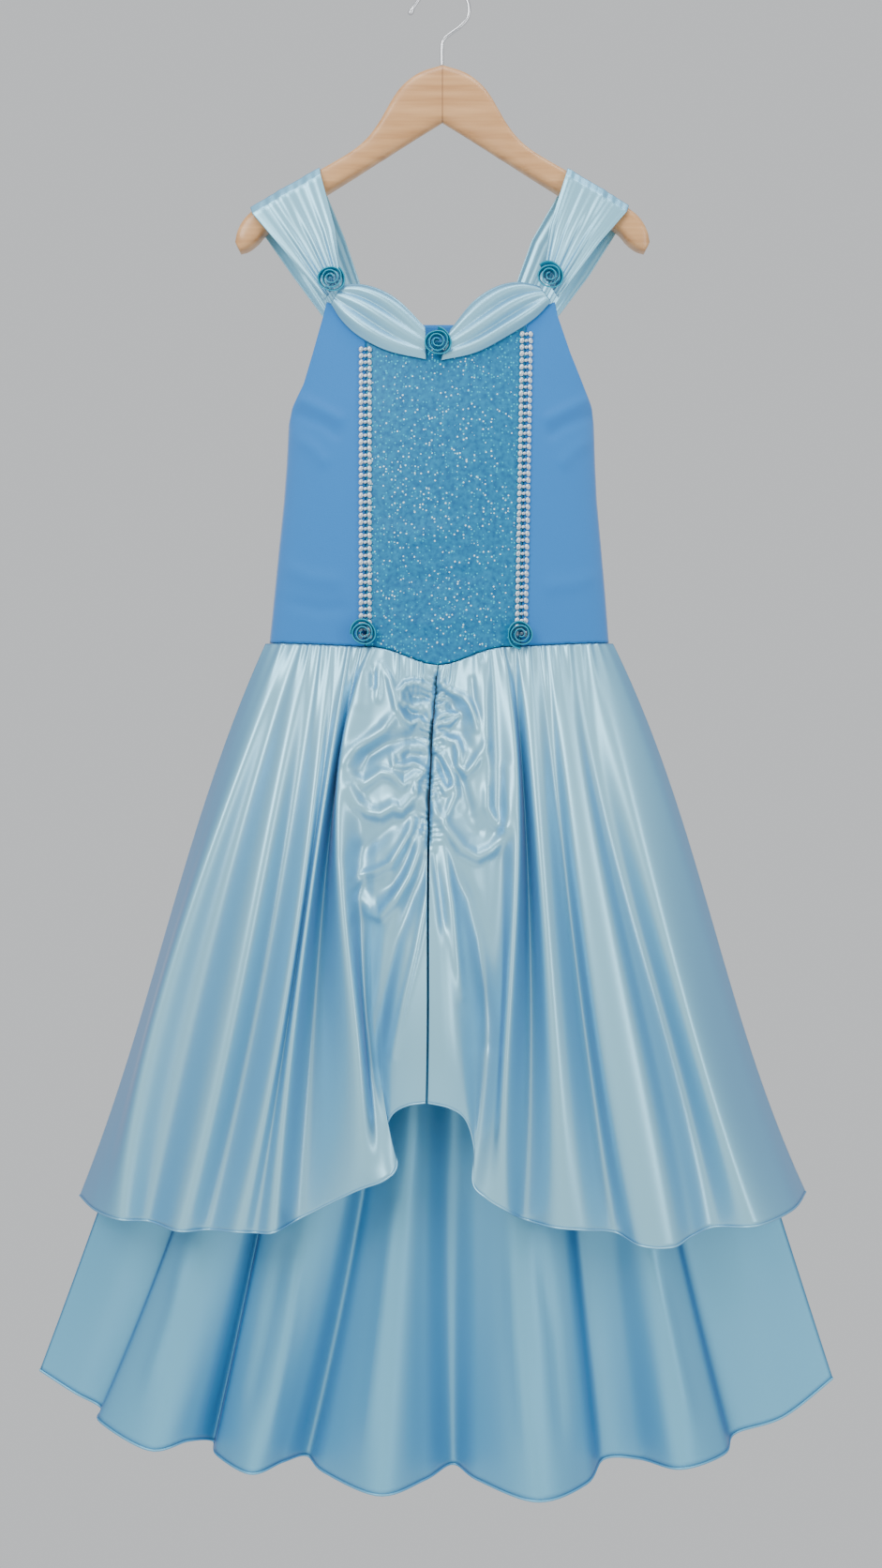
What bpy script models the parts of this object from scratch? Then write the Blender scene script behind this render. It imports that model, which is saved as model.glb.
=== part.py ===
"""Costume dress hung on a wooden hanger.

Every cloth piece is a thin wall of its own: a grid carried over a surface
that is worked out from named sizes and short tables, then given a thickness.
All sizes in the tables are millimetres. The origin is the inside top of the
hook, +Z is up, the front of the dress faces -Y and +X is to the right from the front.
"""
import math

import bmesh
import bpy
from mathutils import Vector

MM = 0.001
CLOTH = 1.3
SEAM_GAP = 0.8
SIDE_GAP = 0.55

# Bodice: outline and depth at each level.
# columns: level z, left edge x, right edge x, front depth y
BODICE_LEVELS = [
    (-262.0, -93.0, 93.0, -25.0),
    (-289.0, -99.4, 98.5, -27.0),
    (-319.0, -108.0, 109.0, -29.0),
    (-345.0, -116.0, 120.0, -30.0),
    (-364.0, -126.0, 128.0, -31.0),
    (-379.0, -129.6, 130.0, -31.5),
    (-411.0, -131.2, 131.0, -32.0),
    (-442.0, -133.5, 132.5, -32.0),
    (-480.0, -137.5, 136.0, -31.5),
    (-520.0, -141.5, 139.5, -31.0),
    (-559.0, -145.5, 142.5, -30.0),
    (-590.0, -148.0, 145.0, -30.0),
]
UNDERARM_Z = -379.0
BODICE_BACK_DEPTH = 20.5
BODICE_BACK_TOP = -287.0
ROUNDNESS = 2.4
BRAID_TOP_X = (-63.5, 72.0)
BRAID_LOW_X = (-63.5, 67.0)
BRAID_WIDTH = 11.0
BRAID_THICK = 1.8
BRAID_STAND = 1.95
BRAID_TOP_Z = (-315.5, -302.5)
BRAID_LOW_Z = -564.5
APEX_Z = -277.0
BRAID_SEAM_X = 65.0
APEX_SPAN = 30.0
WAIST_SPAN = 80.0
NECK_SIDE_Z = -290.0
NECK_CENTRE_Z = -311.0
WAIST_SIDE_Z = -563.0
WAIST_BRAID_Z = -567.5
WAIST_CENTRE_Z = -583.0
CENTRE_X = -2.4
NECK_CURVE = 1.3
WAIST_CURVE = 1.4

# Neck drapes: a row per crosswise section, from shoulder to centre.
# columns: place along, top x, top z, low x, low z
DRAPE_LEFT = [
    (0.00, -83.0, -263.0, -92.5, -279.0),
    (0.25, -66.7, -263.2, -83.0, -294.0),
    (0.50, -49.5, -268.7, -68.0, -308.0),
    (0.75, -33.0, -279.7, -44.0, -320.5),
    (1.00, -13.0, -301.0, -12.6, -327.6),
]
DRAPE_RIGHT = [
    (0.00, 82.0, -264.0, 92.5, -277.0),
    (0.25, 65.0, -261.3, 79.0, -291.5),
    (0.50, 46.3, -265.6, 60.0, -305.0),
    (0.75, 26.7, -278.9, 30.0, -321.5),
    (1.00, 7.9, -302.5, 0.0, -328.4),
]
DRAPE_STAND = 2.2
DRAPE_FOLD = 3.2
DRAPE_TROUGH = 0.8

# Straps: a row per section, from the front end over the hanger to the back end.
# columns: place along, outer x, outer z, inner x, inner z, depth y
STRAP_LEFT = [
    (0.00, -98.0, -274.5, -84.0, -256.0, -18.6),
    (0.22, -130.0, -236.0, -90.0, -212.0, -16.5),
    (0.44, -159.5, -201.0, -101.8, -168.0, -14.8),
    (0.47, -161.5, -194.6, -103.0, -161.0, -10.5),
    (0.50, -162.4, -192.3, -103.2, -158.6, 0.0),
    (0.53, -161.5, -194.6, -103.0, -161.0, 10.5),
    (0.56, -159.5, -201.0, -101.8, -168.0, 14.8),
    (0.78, -126.0, -248.0, -83.0, -213.0, 18.5),
    (1.00, -97.5, -286.4, -58.0, -286.4, 17.0),
]
STRAP_RIGHT = [
    (0.00, 99.0, -273.0, 86.0, -254.0, -18.6),
    (0.22, 134.0, -226.0, 92.0, -211.0, -16.5),
    (0.44, 157.1, -199.2, 105.5, -168.3, -14.8),
    (0.47, 159.2, -193.0, 107.4, -161.4, -10.5),
    (0.50, 160.0, -190.6, 108.0, -158.8, 0.0),
    (0.53, 159.2, -193.0, 107.4, -161.4, 10.5),
    (0.56, 157.1, -199.2, 105.5, -168.3, 14.8),
    (0.78, 127.8, -245.0, 78.5, -214.0, 18.5),
    (1.00, 96.5, -286.4, 52.6, -286.4, 17.0),
]
STRAP_FOLD = 1.5

# Roses: columns: centre x, centre z, back y, outer radius
ROSES = {
    "rose_shoulder_left": (-92.6, -258.5, -23.7, 12.5),
    "rose_shoulder_right": (91.5, -256.0, -21.9, 12.5),
    "rose_neck": (-3.0, -314.0, -34.0, 12.5),
    "rose_waist_left": (-65.0, -557.0, -32.4, 12.0),
    "rose_waist_right": (66.6, -558.0, -32.0, 12.0),
}
ROSE_TURNS = 2.4
ROSE_CORE = 2.2
ROSE_HEIGHT = 7.0
ROSE_WALL = 1.1
ROSE_FOOT = 0.86
ROSE_RIM = 0.72
PETAL_WAVE = 0.055

# Overskirt fronts: a row per fold line, from the side seam to the centre seam.
# Levels down each line are the waist, hip, low and hem places of FRONT_LEVELS.
# columns: hip x, low x, hem x, hem z, hip y, low y, hem y
FRONT_LEVELS = (0.0, 0.36, 0.76, 1.0)
OVERSKIRT_LEFT = [
    (-212.0, -268.0, -308.0, -1034.0, 0.0, 0.0, 0.0),
    (-202.0, -257.0, -287.0, -1036.0, -30.0, -35.0, -48.0),
    (-190.0, -245.0, -261.5, -1037.0, -55.0, -70.0, -80.0),
    (-169.6, -216.0, -239.0, -1041.0, -47.0, -58.0, -68.0),
    (-145.0, -183.0, -211.0, -1042.0, -68.0, -90.0, -100.0),
    (-127.7, -162.6, -188.5, -1044.0, -55.0, -70.0, -85.0),
    (-110.5, -139.7, -164.0, -1041.5, -70.0, -95.0, -105.0),
    (-105.5, -132.0, -149.0, -1043.5, -64.0, -88.0, -98.0),
    (-101.0, -123.0, -133.0, -1041.0, -70.0, -95.0, -108.0),
    (-93.4, -106.0, -113.6, -1035.4, -47.0, -66.0, -80.0),
    (-84.3, -67.8, -70.0, -1011.0, -72.0, -100.0, -97.0),
    (-65.7, -60.4, -45.0, -999.7, -58.0, -76.0, -106.0),
    (-50.0, -54.0, -35.4, -988.5, -62.0, -78.0, -98.0),
    (-38.5, -48.0, -44.0, -966.0, -64.0, -84.0, -85.0),
    (-29.0, -37.8, -40.0, -950.6, -62.0, -94.0, -90.0),
    (-19.0, -25.0, -28.0, -942.0, -61.0, -98.0, -96.0),
    (-11.0, -11.5, -12.5, -939.0, -60.0, -100.0, -100.0),
]
OVERSKIRT_RIGHT = [
    (211.0, 267.0, 311.0, -1031.0, 0.0, 0.0, 0.0),
    (197.0, 251.0, 291.0, -1035.7, -30.0, -35.0, -50.0),
    (168.0, 218.0, 254.6, -1040.0, -58.0, -80.0, -90.0),
    (148.0, 199.0, 223.0, -1044.0, -48.0, -60.0, -75.0),
    (138.0, 182.0, 203.0, -1048.0, -52.0, -72.0, -90.0),
    (128.0, 165.0, 185.0, -1053.0, -65.0, -95.0, -108.0),
    (111.0, 137.0, 160.0, -1052.0, -66.0, -95.0, -108.0),
    (101.0, 124.0, 140.6, -1046.0, -52.0, -70.0, -85.0),
    (88.0, 103.0, 113.0, -1041.0, -66.0, -92.0, -100.0),
    (79.0, 89.0, 91.0, -1039.0, -68.0, -94.0, -100.0),
    (71.0, 73.0, 69.0, -1037.0, -47.0, -70.0, -80.0),
    (63.0, 53.0, 53.0, -1026.0, -72.0, -98.0, -98.0),
    (50.0, 46.0, 37.0, -1016.0, -60.0, -85.0, -100.0),
    (37.0, 37.0, 26.0, -1005.6, -62.0, -76.0, -92.0),
    (23.0, 27.0, 27.0, -979.0, -63.0, -82.0, -85.0),
    (7.0, 13.0, 20.5, -955.0, -61.0, -95.0, -90.0),
    (-2.0, 2.0, 7.5, -944.0, -60.0, -99.0, -96.0),
    (-9.0, -9.5, -10.5, -939.0, -60.0, -100.0, -100.0),
]
FRONT_COLUMNS = 36
RUCHE_ROWS = 16
LOWER_ROWS = 9
RUCHE_END = 0.44
RUCHE_INNER = 0.56
RUCHE_DEPTH = 4.5
RUCHE_SLANT = 0.09
PUCKER_DEPTH = 2.2
PUCKER_ROWS = 4
OVERSKIRT_WAIST_X = (-149.5, 146.5)
WAIST_REACH = (-147.5, 145.0)

# Overskirt back
BACK_COLUMNS = 32
BACK_ROWS = 10
BACK_WAIST_DEPTH = 24.0
BACK_HEM_DEPTH = 40.0
BACK_FOLDS = 7
BACK_FOLD_DEPTH = 13.0
BACK_HEM_DROP = 10.0

# Underskirt front: a row per fold line, from left side seam to right side seam.
# columns: low x, hem x, hem z, low y, hem y
UNDER_LEVELS = (0.0, 0.7, 1.0)
UNDERSKIRT = [
    (-275.0, -342.0, -1183.0, 0.0, 0.0),
    (-243.0, -311.0, -1198.0, -20.0, -12.0),
    (-214.0, -287.0, -1209.0, -24.0, -18.0),
    (-208.0, -283.0, -1213.0, -34.0, -44.0),
    (-190.0, -238.0, -1227.0, -50.0, -72.0),
    (-159.0, -209.0, -1226.0, -40.0, -52.0),
    (-149.0, -192.0, -1235.0, -25.0, -24.0),
    (-143.0, -186.0, -1240.0, -36.0, -45.0),
    (-112.0, -155.0, -1245.0, -52.0, -76.0),
    (-84.0, -131.0, -1244.0, -42.0, -50.0),
    (-70.0, -113.0, -1247.5, -25.0, -24.0),
    (-60.0, -97.0, -1254.0, -36.0, -46.0),
    (-34.0, -50.0, -1259.0, -55.0, -86.0),
    (-13.0, -13.0, -1258.0, -42.0, -52.0),
    (8.0, 10.0, -1256.0, -22.0, -20.0),
    (31.0, 31.0, -1260.0, -36.0, -48.0),
    (66.0, 78.0, -1264.0, -56.0, -86.0),
    (101.0, 120.0, -1261.0, -42.0, -54.0),
    (115.0, 137.0, -1250.0, -24.0, -25.0),
    (140.0, 166.0, -1247.0, -30.0, -34.0),
    (166.0, 196.0, -1243.0, -48.0, -70.0),
    (188.0, 235.0, -1239.0, -36.0, -46.0),
    (199.0, 248.0, -1231.0, -20.0, -18.0),
    (240.0, 290.0, -1219.0, -16.0, -12.0),
    (274.0, 334.0, -1190.0, 0.0, 0.0),
]
UNDER_COLUMNS = 48
UNDER_ROWS = 10
UNDER_INSET = 5.0
UNDER_WAIST_X = (-141.0, 138.0)
UNDER_BACK_COLUMNS = 20
UNDER_BACK_ROWS = 8
UNDER_BACK_WAIST_DEPTH = 16.0
UNDER_BACK_HEM_DEPTH = 27.0
UNDER_BACK_FOLDS = 5
UNDER_BACK_FOLD_DEPTH = 9.0
UNDER_BACK_HEM_DROP = 45.0
UNDER_TOP_DROP = 2.0

# Hanger: a row per station, from the centre outwards.
# columns: top x, top z, low x, low z, depth
HANGER_STATIONS = [
    (0.0, -70.6, 0.0, -119.0, 14.0),
    (19.5, -77.0, 19.5, -131.0, 14.5),
    (33.0, -87.0, 33.0, -139.5, 15.0),
    (41.0, -97.0, 41.0, -144.5, 15.5),
    (48.0, -109.0, 48.0, -149.0, 16.0),
    (54.0, -119.5, 54.0, -152.5, 16.5),
    (64.0, -133.0, 63.0, -158.2, 17.0),
    (78.0, -145.0, 76.0, -166.4, 18.0),
    (104.0, -160.5, 98.0, -180.0, 19.5),
    (132.0, -177.3, 124.0, -196.8, 21.5),
    (159.0, -194.0, 148.0, -212.3, 23.0),
    (169.0, -203.0, 157.0, -222.0, 23.5),
    (174.5, -213.0, 165.0, -228.0, 22.0),
    (176.5, -222.0, 172.0, -230.5, 17.0),
]
HANGER_CENTRE_X = 1.2
HANGER_RING = 8
HANGER_SQUARE = 0.55

# Hook: columns: x, z, wire radius as a share of WIRE_RADIUS
WIRE_RADIUS = 1.65
HOOK_PATH = [
    (-26.6, -27.4, 0.4),
    (-26.3, -26.4, 1.35),
    (-25.6, -24.6, 1.5),
    (-24.6, -22.8, 1.35),
    (-23.6, -21.0, 1.0),
    (-18.6, -13.6, 1.0),
    (-13.2, -4.6, 1.0),
    (-6.6, 0.3, 1.0),
    (0.0, 1.65, 1.0),
    (7.4, 0.9, 1.0),
    (14.6, -3.4, 1.0),
    (20.4, -10.6, 1.0),
    (23.9, -19.4, 1.0),
    (23.0, -29.0, 1.0),
    (17.0, -36.6, 1.0),
    (7.6, -43.6, 1.0),
    (2.2, -48.6, 1.0),
    (0.9, -55.0, 1.0),
    (0.9, -70.0, 1.0),
]


def clear_scene():
    """Remove every object of the scene."""
    for item in list(bpy.data.objects):
        bpy.data.objects.remove(item, do_unlink=True)


def make_material(name, colour, roughness, metallic):
    """Give a plain Principled material."""
    material = bpy.data.materials.new(name)
    material.use_nodes = True
    shader = material.node_tree.nodes["Principled BSDF"]
    shader.inputs["Base Color"].default_value = (*colour, 1.0)
    shader.inputs["Roughness"].default_value = roughness
    shader.inputs["Metallic"].default_value = metallic
    material.diffuse_color = (*colour, 1.0)
    return material


def add_object(name, mesh, material):
    """Link a mesh as a smooth shaded object."""
    item = bpy.data.objects.new(name, mesh)
    bpy.context.scene.collection.objects.link(item)
    mesh.materials.append(material)
    for face in mesh.polygons:
        face.use_smooth = True
    return item


def grid_mesh(name, columns, rows, surface):
    """Carry a grid over surface(u, v, column, row)."""
    bm = bmesh.new()
    bmesh.ops.create_grid(bm, x_segments=columns, y_segments=rows, size=0.5)
    for vert in bm.verts:
        u = vert.co.x + 0.5
        v = vert.co.y + 0.5
        vert.co = surface(u, v, round(u * columns), round(v * rows)) * MM
    return finish_mesh(name, bm)


def finish_mesh(name, bm):
    """Turn a bmesh into mesh data."""
    mesh = bpy.data.meshes.new(name)
    bm.to_mesh(mesh)
    bm.free()
    return mesh


def cloth(name, columns, rows, surface, material, thickness=CLOTH):
    """A cloth wall of even thickness on a surface."""
    item = add_object(name, grid_mesh(name, columns, rows, surface), material)
    solid = item.modifiers.new("wall", "SOLIDIFY")
    solid.thickness = thickness * MM
    solid.offset = 0.0
    solid.use_even_offset = False
    return item


def mix(start, end, share):
    """Straight mix of two values."""
    return start + (end - start) * share


def clamp(value):
    """Hold a value between 0 and 1."""
    return min(1.0, max(0.0, value))


def smooth(value):
    """Soft step from 0 to 1."""
    held = clamp(value)
    return held * held * (3.0 - 2.0 * held)


def table_row(table, key):
    """Mix the rows of a table at a key of the first column."""
    falling = table[0][0] > table[-1][0]
    rows = table[::-1] if falling else table
    if key <= rows[0][0]:
        return rows[0]
    for low, high in zip(rows, rows[1:]):
        if key <= high[0]:
            share = (key - low[0]) / (high[0] - low[0])
            return tuple(mix(a, b, share) for a, b in zip(low, high))
    return rows[-1]


def curve_through(a, b, c, d, share):
    """Smooth curve from b to c with a and d as its neighbours."""
    square = share * share
    cube = square * share
    return 0.5 * (
        2.0 * b
        + (c - a) * share
        + (2.0 * a - 5.0 * b + 4.0 * c - d) * square
        + (3.0 * b - a - 3.0 * c + d) * cube
    )


def through_levels(levels, values, place):
    """Polynomial through the values at the levels."""
    total = 0.0
    for i, level in enumerate(levels):
        weight = 1.0
        for j, other in enumerate(levels):
            if j != i:
                weight *= (place - other) / (level - other)
        total += weight * values[i]
    return total


def rounding(x, left, right):
    """Depth share of a flattened tube between its side edges."""
    middle = (left + right) / 2.0
    reach = (right - left) / 2.0
    across = clamp(abs(x - middle) / reach)
    return math.sqrt(max(0.0, 1.0 - across ** ROUNDNESS))


def bodice_front_y(x, z):
    """Depth of the bodice front at x, z."""
    depth = table_row(BODICE_LEVELS, z)[3]
    girth = table_row(BODICE_LEVELS, min(z, UNDERARM_Z))
    return -SIDE_GAP + (depth + SIDE_GAP) * rounding(x, girth[1], girth[2])


def waist_z(x):
    """Height of the waist seam, a gentle V at the centre front."""
    away = abs(x - CENTRE_X)
    near = smooth(1.0 - away / BRAID_SEAM_X)
    edge = mix(WAIST_BRAID_Z, WAIST_SIDE_Z, clamp((away - BRAID_SEAM_X) / WAIST_SPAN))
    return mix(edge, WAIST_CENTRE_Z, near ** WAIST_CURVE)


def neck_z(x):
    """Height of the bodice top edge under the drapes."""
    away = abs(x)
    if away > BRAID_SEAM_X:
        return mix(NECK_SIDE_Z, APEX_Z, clamp((away - BRAID_SEAM_X) / APEX_SPAN))
    return mix(NECK_CENTRE_Z, NECK_SIDE_Z, clamp(away / BRAID_SEAM_X) ** NECK_CURVE)


def braid_x(side, z):
    """Middle of a braid at a height."""
    share = clamp((z - NECK_SIDE_Z) / (WAIST_BRAID_Z - NECK_SIDE_Z))
    return mix(BRAID_TOP_X[side], BRAID_LOW_X[side], share)


def bodice_panel(find_left, find_right):
    """Surface of a bodice front panel between two edges."""

    def surface(u, v, column, row):
        top_x = mix(find_left(APEX_Z), find_right(APEX_Z), u)
        low_x = mix(find_left(WAIST_SIDE_Z), find_right(WAIST_SIDE_Z), u)
        z = mix(neck_z(top_x), waist_z(low_x), v)
        x = mix(find_left(z), find_right(z), u)
        return Vector((x, bodice_front_y(x, z), z))

    return surface


def bodice_left_edge(z):
    """Left edge of the bodice at a height."""
    return table_row(BODICE_LEVELS, z)[1]


def bodice_right_edge(z):
    """Right edge of the bodice at a height."""
    return table_row(BODICE_LEVELS, z)[2]


def bodice_back_surface(u, v, column, row):
    """The plain back, with armholes cut as on the front."""
    low_x = mix(bodice_left_edge(WAIST_SIDE_Z), bodice_right_edge(WAIST_SIDE_Z), u)
    waist = mix(WAIST_SIDE_Z, WAIST_BRAID_Z, smooth(1.0 - abs(2.0 * u - 1.0)))
    z = mix(BODICE_BACK_TOP, waist, v)
    x = mix(bodice_left_edge(z), bodice_right_edge(z), u)
    girth = min(z, UNDERARM_Z)
    depth = rounding(x, bodice_left_edge(girth), bodice_right_edge(girth))
    return Vector((x, SIDE_GAP + (BODICE_BACK_DEPTH - SIDE_GAP) * depth, z))


def drape_surface(table):
    """A swag pinched at both ends, standing off the bodice."""

    def surface(u, v, column, row):
        place = table_row(table, u)
        x = mix(place[1], place[3], v)
        z = mix(place[2], place[4], v)
        swell = mix(0.15, 1.0, math.sin(math.pi * u))
        inner = 0.0 < v < 1.0
        lift = DRAPE_FOLD * swell * (row % 2) + DRAPE_TROUGH * inner
        y = bodice_front_y(x, z) - DRAPE_STAND - lift
        return Vector((x, y, z))

    return surface


def strap_surface(table):
    """A wide strap over the hanger, gathered at its front end."""

    def surface(u, v, column, row):
        place = table[row]
        x = mix(place[1], place[3], u)
        z = mix(place[2], place[4], u)
        fade = 1.0 - 0.75 * smooth(place[0] / 0.5)
        fold = STRAP_FOLD * fade * (column % 2)
        y = place[5]
        facing = -1.0 if place[0] < 0.5 else 1.0
        if abs(place[0] - 0.5) < 0.05:
            return Vector((x, y, z + 0.4 * fold))
        return Vector((x, y + facing * fold, z))

    return surface


def braid_surface(side):
    """A flat braid over the seam of two bodice panels."""

    def surface(u, v, column, row):
        z = mix(BRAID_TOP_Z[side], BRAID_LOW_Z, v)
        x = braid_x(side, z) + (u - 0.5) * BRAID_WIDTH
        return Vector((x, bodice_front_y(x, z) - BRAID_STAND, z))

    return surface


def rose_surface(centre_x, centre_z, back_y, radius):
    """A ribbon rolled up into a rose."""

    def surface(u, v, column, row):
        angle = u * ROSE_TURNS * 2.0 * math.pi
        flare = mix(ROSE_FOOT, 1.0, math.sin(math.pi * v * 0.8))
        reach = mix(ROSE_CORE, radius, u ** 0.9) * flare
        reach *= 1.0 + PETAL_WAVE * u * math.sin(3.0 * angle)
        height = ROSE_HEIGHT * v * mix(1.0, ROSE_RIM, u)
        return Vector((
            centre_x + reach * math.cos(angle),
            back_y - height,
            centre_z + reach * math.sin(angle),
        ))

    return surface


def rib_at(table, levels, first_x, last_x, inset, index, place):
    """Point of one fold line of a skirt front at a place down the line."""
    count = len(table) - 1
    row = table[index]
    below = len(levels) - 1
    waist_x = mix(first_x, last_x, index / count)
    top_z = waist_z(waist_x) - SEAM_GAP
    held_x = min(WAIST_REACH[1], max(WAIST_REACH[0], waist_x))
    waist_y = min(0.0, bodice_front_y(held_x, top_z) + inset)
    if row[2 * below] == 0.0:
        waist_y = 0.0
    x = through_levels(levels, (waist_x, *row[:below]), place)
    z = mix(top_z, row[below], place)
    y = through_levels(levels, (waist_y, *row[below + 1:]), place)
    return Vector((x, min(y, 0.0) - SIDE_GAP, z))


def skirt_point(table, levels, first_x, last_x, inset, u, place):
    """Point between the fold lines of a skirt front."""
    count = len(table) - 1
    along = clamp(u) * count
    index = min(int(along), count - 1)
    share = along - index
    picks = [max(index - 1, 0), index, index + 1, min(index + 2, count)]
    points = [
        rib_at(table, levels, first_x, last_x, inset, pick, place)
        for pick in picks
    ]
    return Vector([
        curve_through(*(point[axis] for point in points), share)
        for axis in range(3)
    ])


def front_place(v):
    """Spread the rows: close together in the ruched part."""
    rows = RUCHE_ROWS + LOWER_ROWS
    row = v * rows
    if row <= RUCHE_ROWS:
        return RUCHE_END * row / RUCHE_ROWS
    return mix(RUCHE_END, 1.0, (row - RUCHE_ROWS) / LOWER_ROWS)


def overskirt_front_surface(table, first_x, last_x):
    """Gathered at the waist, ruched along the centre seam."""

    def surface(u, v, column, row):
        place = front_place(v)
        near = clamp((u - RUCHE_INNER) / (1.0 - RUCHE_INNER))
        slant = RUCHE_SLANT * math.sin(math.pi * clamp(place / 0.7))
        slant *= math.sin(math.pi * near * 0.5 + math.pi * 0.5) * smooth(near * 6.0)
        point = skirt_point(
            table, FRONT_LEVELS, first_x, last_x, 0.0, u, place + slant
        )
        tuck = RUCHE_DEPTH * (row % 2) * smooth(near * 3.5)
        tuck *= 1.0 - 0.55 * smooth((near - 0.75) * 4.0)
        tuck *= 1.0 - smooth((place - RUCHE_END * 0.82) / (RUCHE_END * 0.18))
        pucker = PUCKER_DEPTH * (column % 2) * clamp(1.0 - row / PUCKER_ROWS)
        pucker *= smooth(u * 14.0)
        point.y -= tuck + pucker
        return point

    return surface


def skirt_back_surface(left, right, depths, folds, fold_depth, drop, fade):
    """Plain back of a skirt between its two side seams."""

    def surface(u, v, column, row):
        start = left(v)
        end = right(v)
        spread = math.cos(math.pi * u)
        x = mix(start.x, end.x, 0.5 - 0.5 * spread * mix(0.55, 1.0, abs(spread)))
        z = mix(start.z, end.z, u) - drop * v * math.sin(math.pi * u)
        across = abs(2.0 * u - 1.0)
        shape = math.sqrt(max(0.0, 1.0 - across ** ROUNDNESS))
        depth = mix(depths[0], depths[1], v) * shape
        wave = 0.5 - 0.5 * math.cos(2.0 * math.pi * folds * u)
        fold = fold_depth * wave * v * smooth((1.0 - across) * 5.0)
        pucker = PUCKER_DEPTH * (column % 2) * clamp(1.0 - row * fade)
        pucker *= smooth((1.0 - across) * 7.0)
        return Vector((x, SIDE_GAP + depth + fold + pucker, z))

    return surface


def hanger_stations():
    """All stations from the left tip to the right tip."""
    left = [(-a, b, -c, d, e) for a, b, c, d, e in HANGER_STATIONS[:0:-1]]
    return left + HANGER_STATIONS


def make_hanger(material):
    """The wooden hanger as one rounded bar."""
    stations = hanger_stations()
    bm = bmesh.new()
    rows = len(stations) - 1
    bmesh.ops.create_grid(bm, x_segments=HANGER_RING, y_segments=rows, size=0.5)
    for vert in bm.verts:
        angle = 2.0 * math.pi * (vert.co.x + 0.5)
        top_x, top_z, low_x, low_z, depth = stations[round((vert.co.y + 0.5) * rows)]
        up = math.cos(angle + math.pi / HANGER_RING)
        out = math.sin(angle + math.pi / HANGER_RING)
        up = math.copysign(abs(up) ** HANGER_SQUARE, up)
        out = math.copysign(abs(out) ** HANGER_SQUARE, out)
        widest = abs(math.cos(math.pi / HANGER_RING)) ** HANGER_SQUARE
        share = 0.5 + 0.5 * up / widest
        vert.co = Vector((
            mix(low_x, top_x, share) + HANGER_CENTRE_X,
            0.5 * depth * out / widest,
            mix(low_z, top_z, share),
        )) * MM
    bmesh.ops.remove_doubles(bm, verts=list(bm.verts), dist=0.00001)
    ends = [edge for edge in bm.edges if edge.is_boundary]
    bmesh.ops.holes_fill(bm, edges=ends, sides=0)
    bmesh.ops.recalc_face_normals(bm, faces=list(bm.faces))
    return add_object("hanger_body", finish_mesh("hanger_body", bm), material)


def make_hook(material):
    """The wire hook as a bevelled curve."""
    data = bpy.data.curves.new("hanger_hook", "CURVE")
    data.dimensions = "3D"
    data.bevel_depth = WIRE_RADIUS * MM
    data.bevel_resolution = 1
    data.resolution_u = 1
    data.use_fill_caps = True
    spline = data.splines.new("POLY")
    spline.points.add(len(HOOK_PATH) - 1)
    for point, (x, z, radius) in zip(spline.points, HOOK_PATH):
        point.co = (x * MM, 0.0, z * MM, 1.0)
        point.radius = radius
    spline.use_smooth = True
    item = bpy.data.objects.new("hanger_hook", data)
    bpy.context.scene.collection.objects.link(item)
    data.materials.append(material)
    return item


def make_bodice(glitter, knit):
    """Centre panel, two side panels and the back."""
    gap = SEAM_GAP / 2.0
    cloth("bodice_front_centre", 6, 12, bodice_panel(
        lambda z: braid_x(0, z) + gap, lambda z: braid_x(1, z) - gap), glitter)
    cloth("bodice_side_left", 6, 12, bodice_panel(
        bodice_left_edge, lambda z: braid_x(0, z) - gap), knit)
    cloth("bodice_side_right", 6, 12, bodice_panel(
        lambda z: braid_x(1, z) + gap, bodice_right_edge), knit)
    cloth("bodice_back", 14, 10, bodice_back_surface, knit)


def make_trim(satin, silver, rose):
    """Drapes, straps, braids and roses."""
    cloth("neck_drape_left", 10, 6, drape_surface(DRAPE_LEFT), satin)
    cloth("neck_drape_right", 10, 6, drape_surface(DRAPE_RIGHT), satin)
    rows = len(STRAP_LEFT) - 1
    cloth("strap_left", 8, rows, strap_surface(STRAP_LEFT), satin)
    cloth("strap_right", 8, rows, strap_surface(STRAP_RIGHT), satin)
    cloth("braid_left", 2, 12, braid_surface(0), silver, BRAID_THICK)
    cloth("braid_right", 2, 12, braid_surface(1), silver, BRAID_THICK)
    for name, size in ROSES.items():
        cloth(name, 24, 2, rose_surface(*size), rose, ROSE_WALL)


def make_overskirt(satin):
    """Two gathered fronts meeting at the ruched seam, and the back."""
    gap = SEAM_GAP / 2.0
    left_x, right_x = OVERSKIRT_WAIST_X
    rows = RUCHE_ROWS + LOWER_ROWS
    cloth("overskirt_front_left", FRONT_COLUMNS, rows, overskirt_front_surface(
        OVERSKIRT_LEFT, left_x, CENTRE_X - gap), satin)
    cloth("overskirt_front_right", FRONT_COLUMNS, rows, overskirt_front_surface(
        OVERSKIRT_RIGHT, right_x, CENTRE_X + gap), satin)
    cloth("overskirt_back", BACK_COLUMNS, BACK_ROWS, skirt_back_surface(
        lambda v: rib_at(OVERSKIRT_LEFT, FRONT_LEVELS, left_x, CENTRE_X, 0.0, 0, v),
        lambda v: rib_at(OVERSKIRT_RIGHT, FRONT_LEVELS, right_x, CENTRE_X, 0.0, 0, v),
        (BACK_WAIST_DEPTH, BACK_HEM_DEPTH), BACK_FOLDS, BACK_FOLD_DEPTH,
        BACK_HEM_DROP, 0.66), satin)


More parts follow.
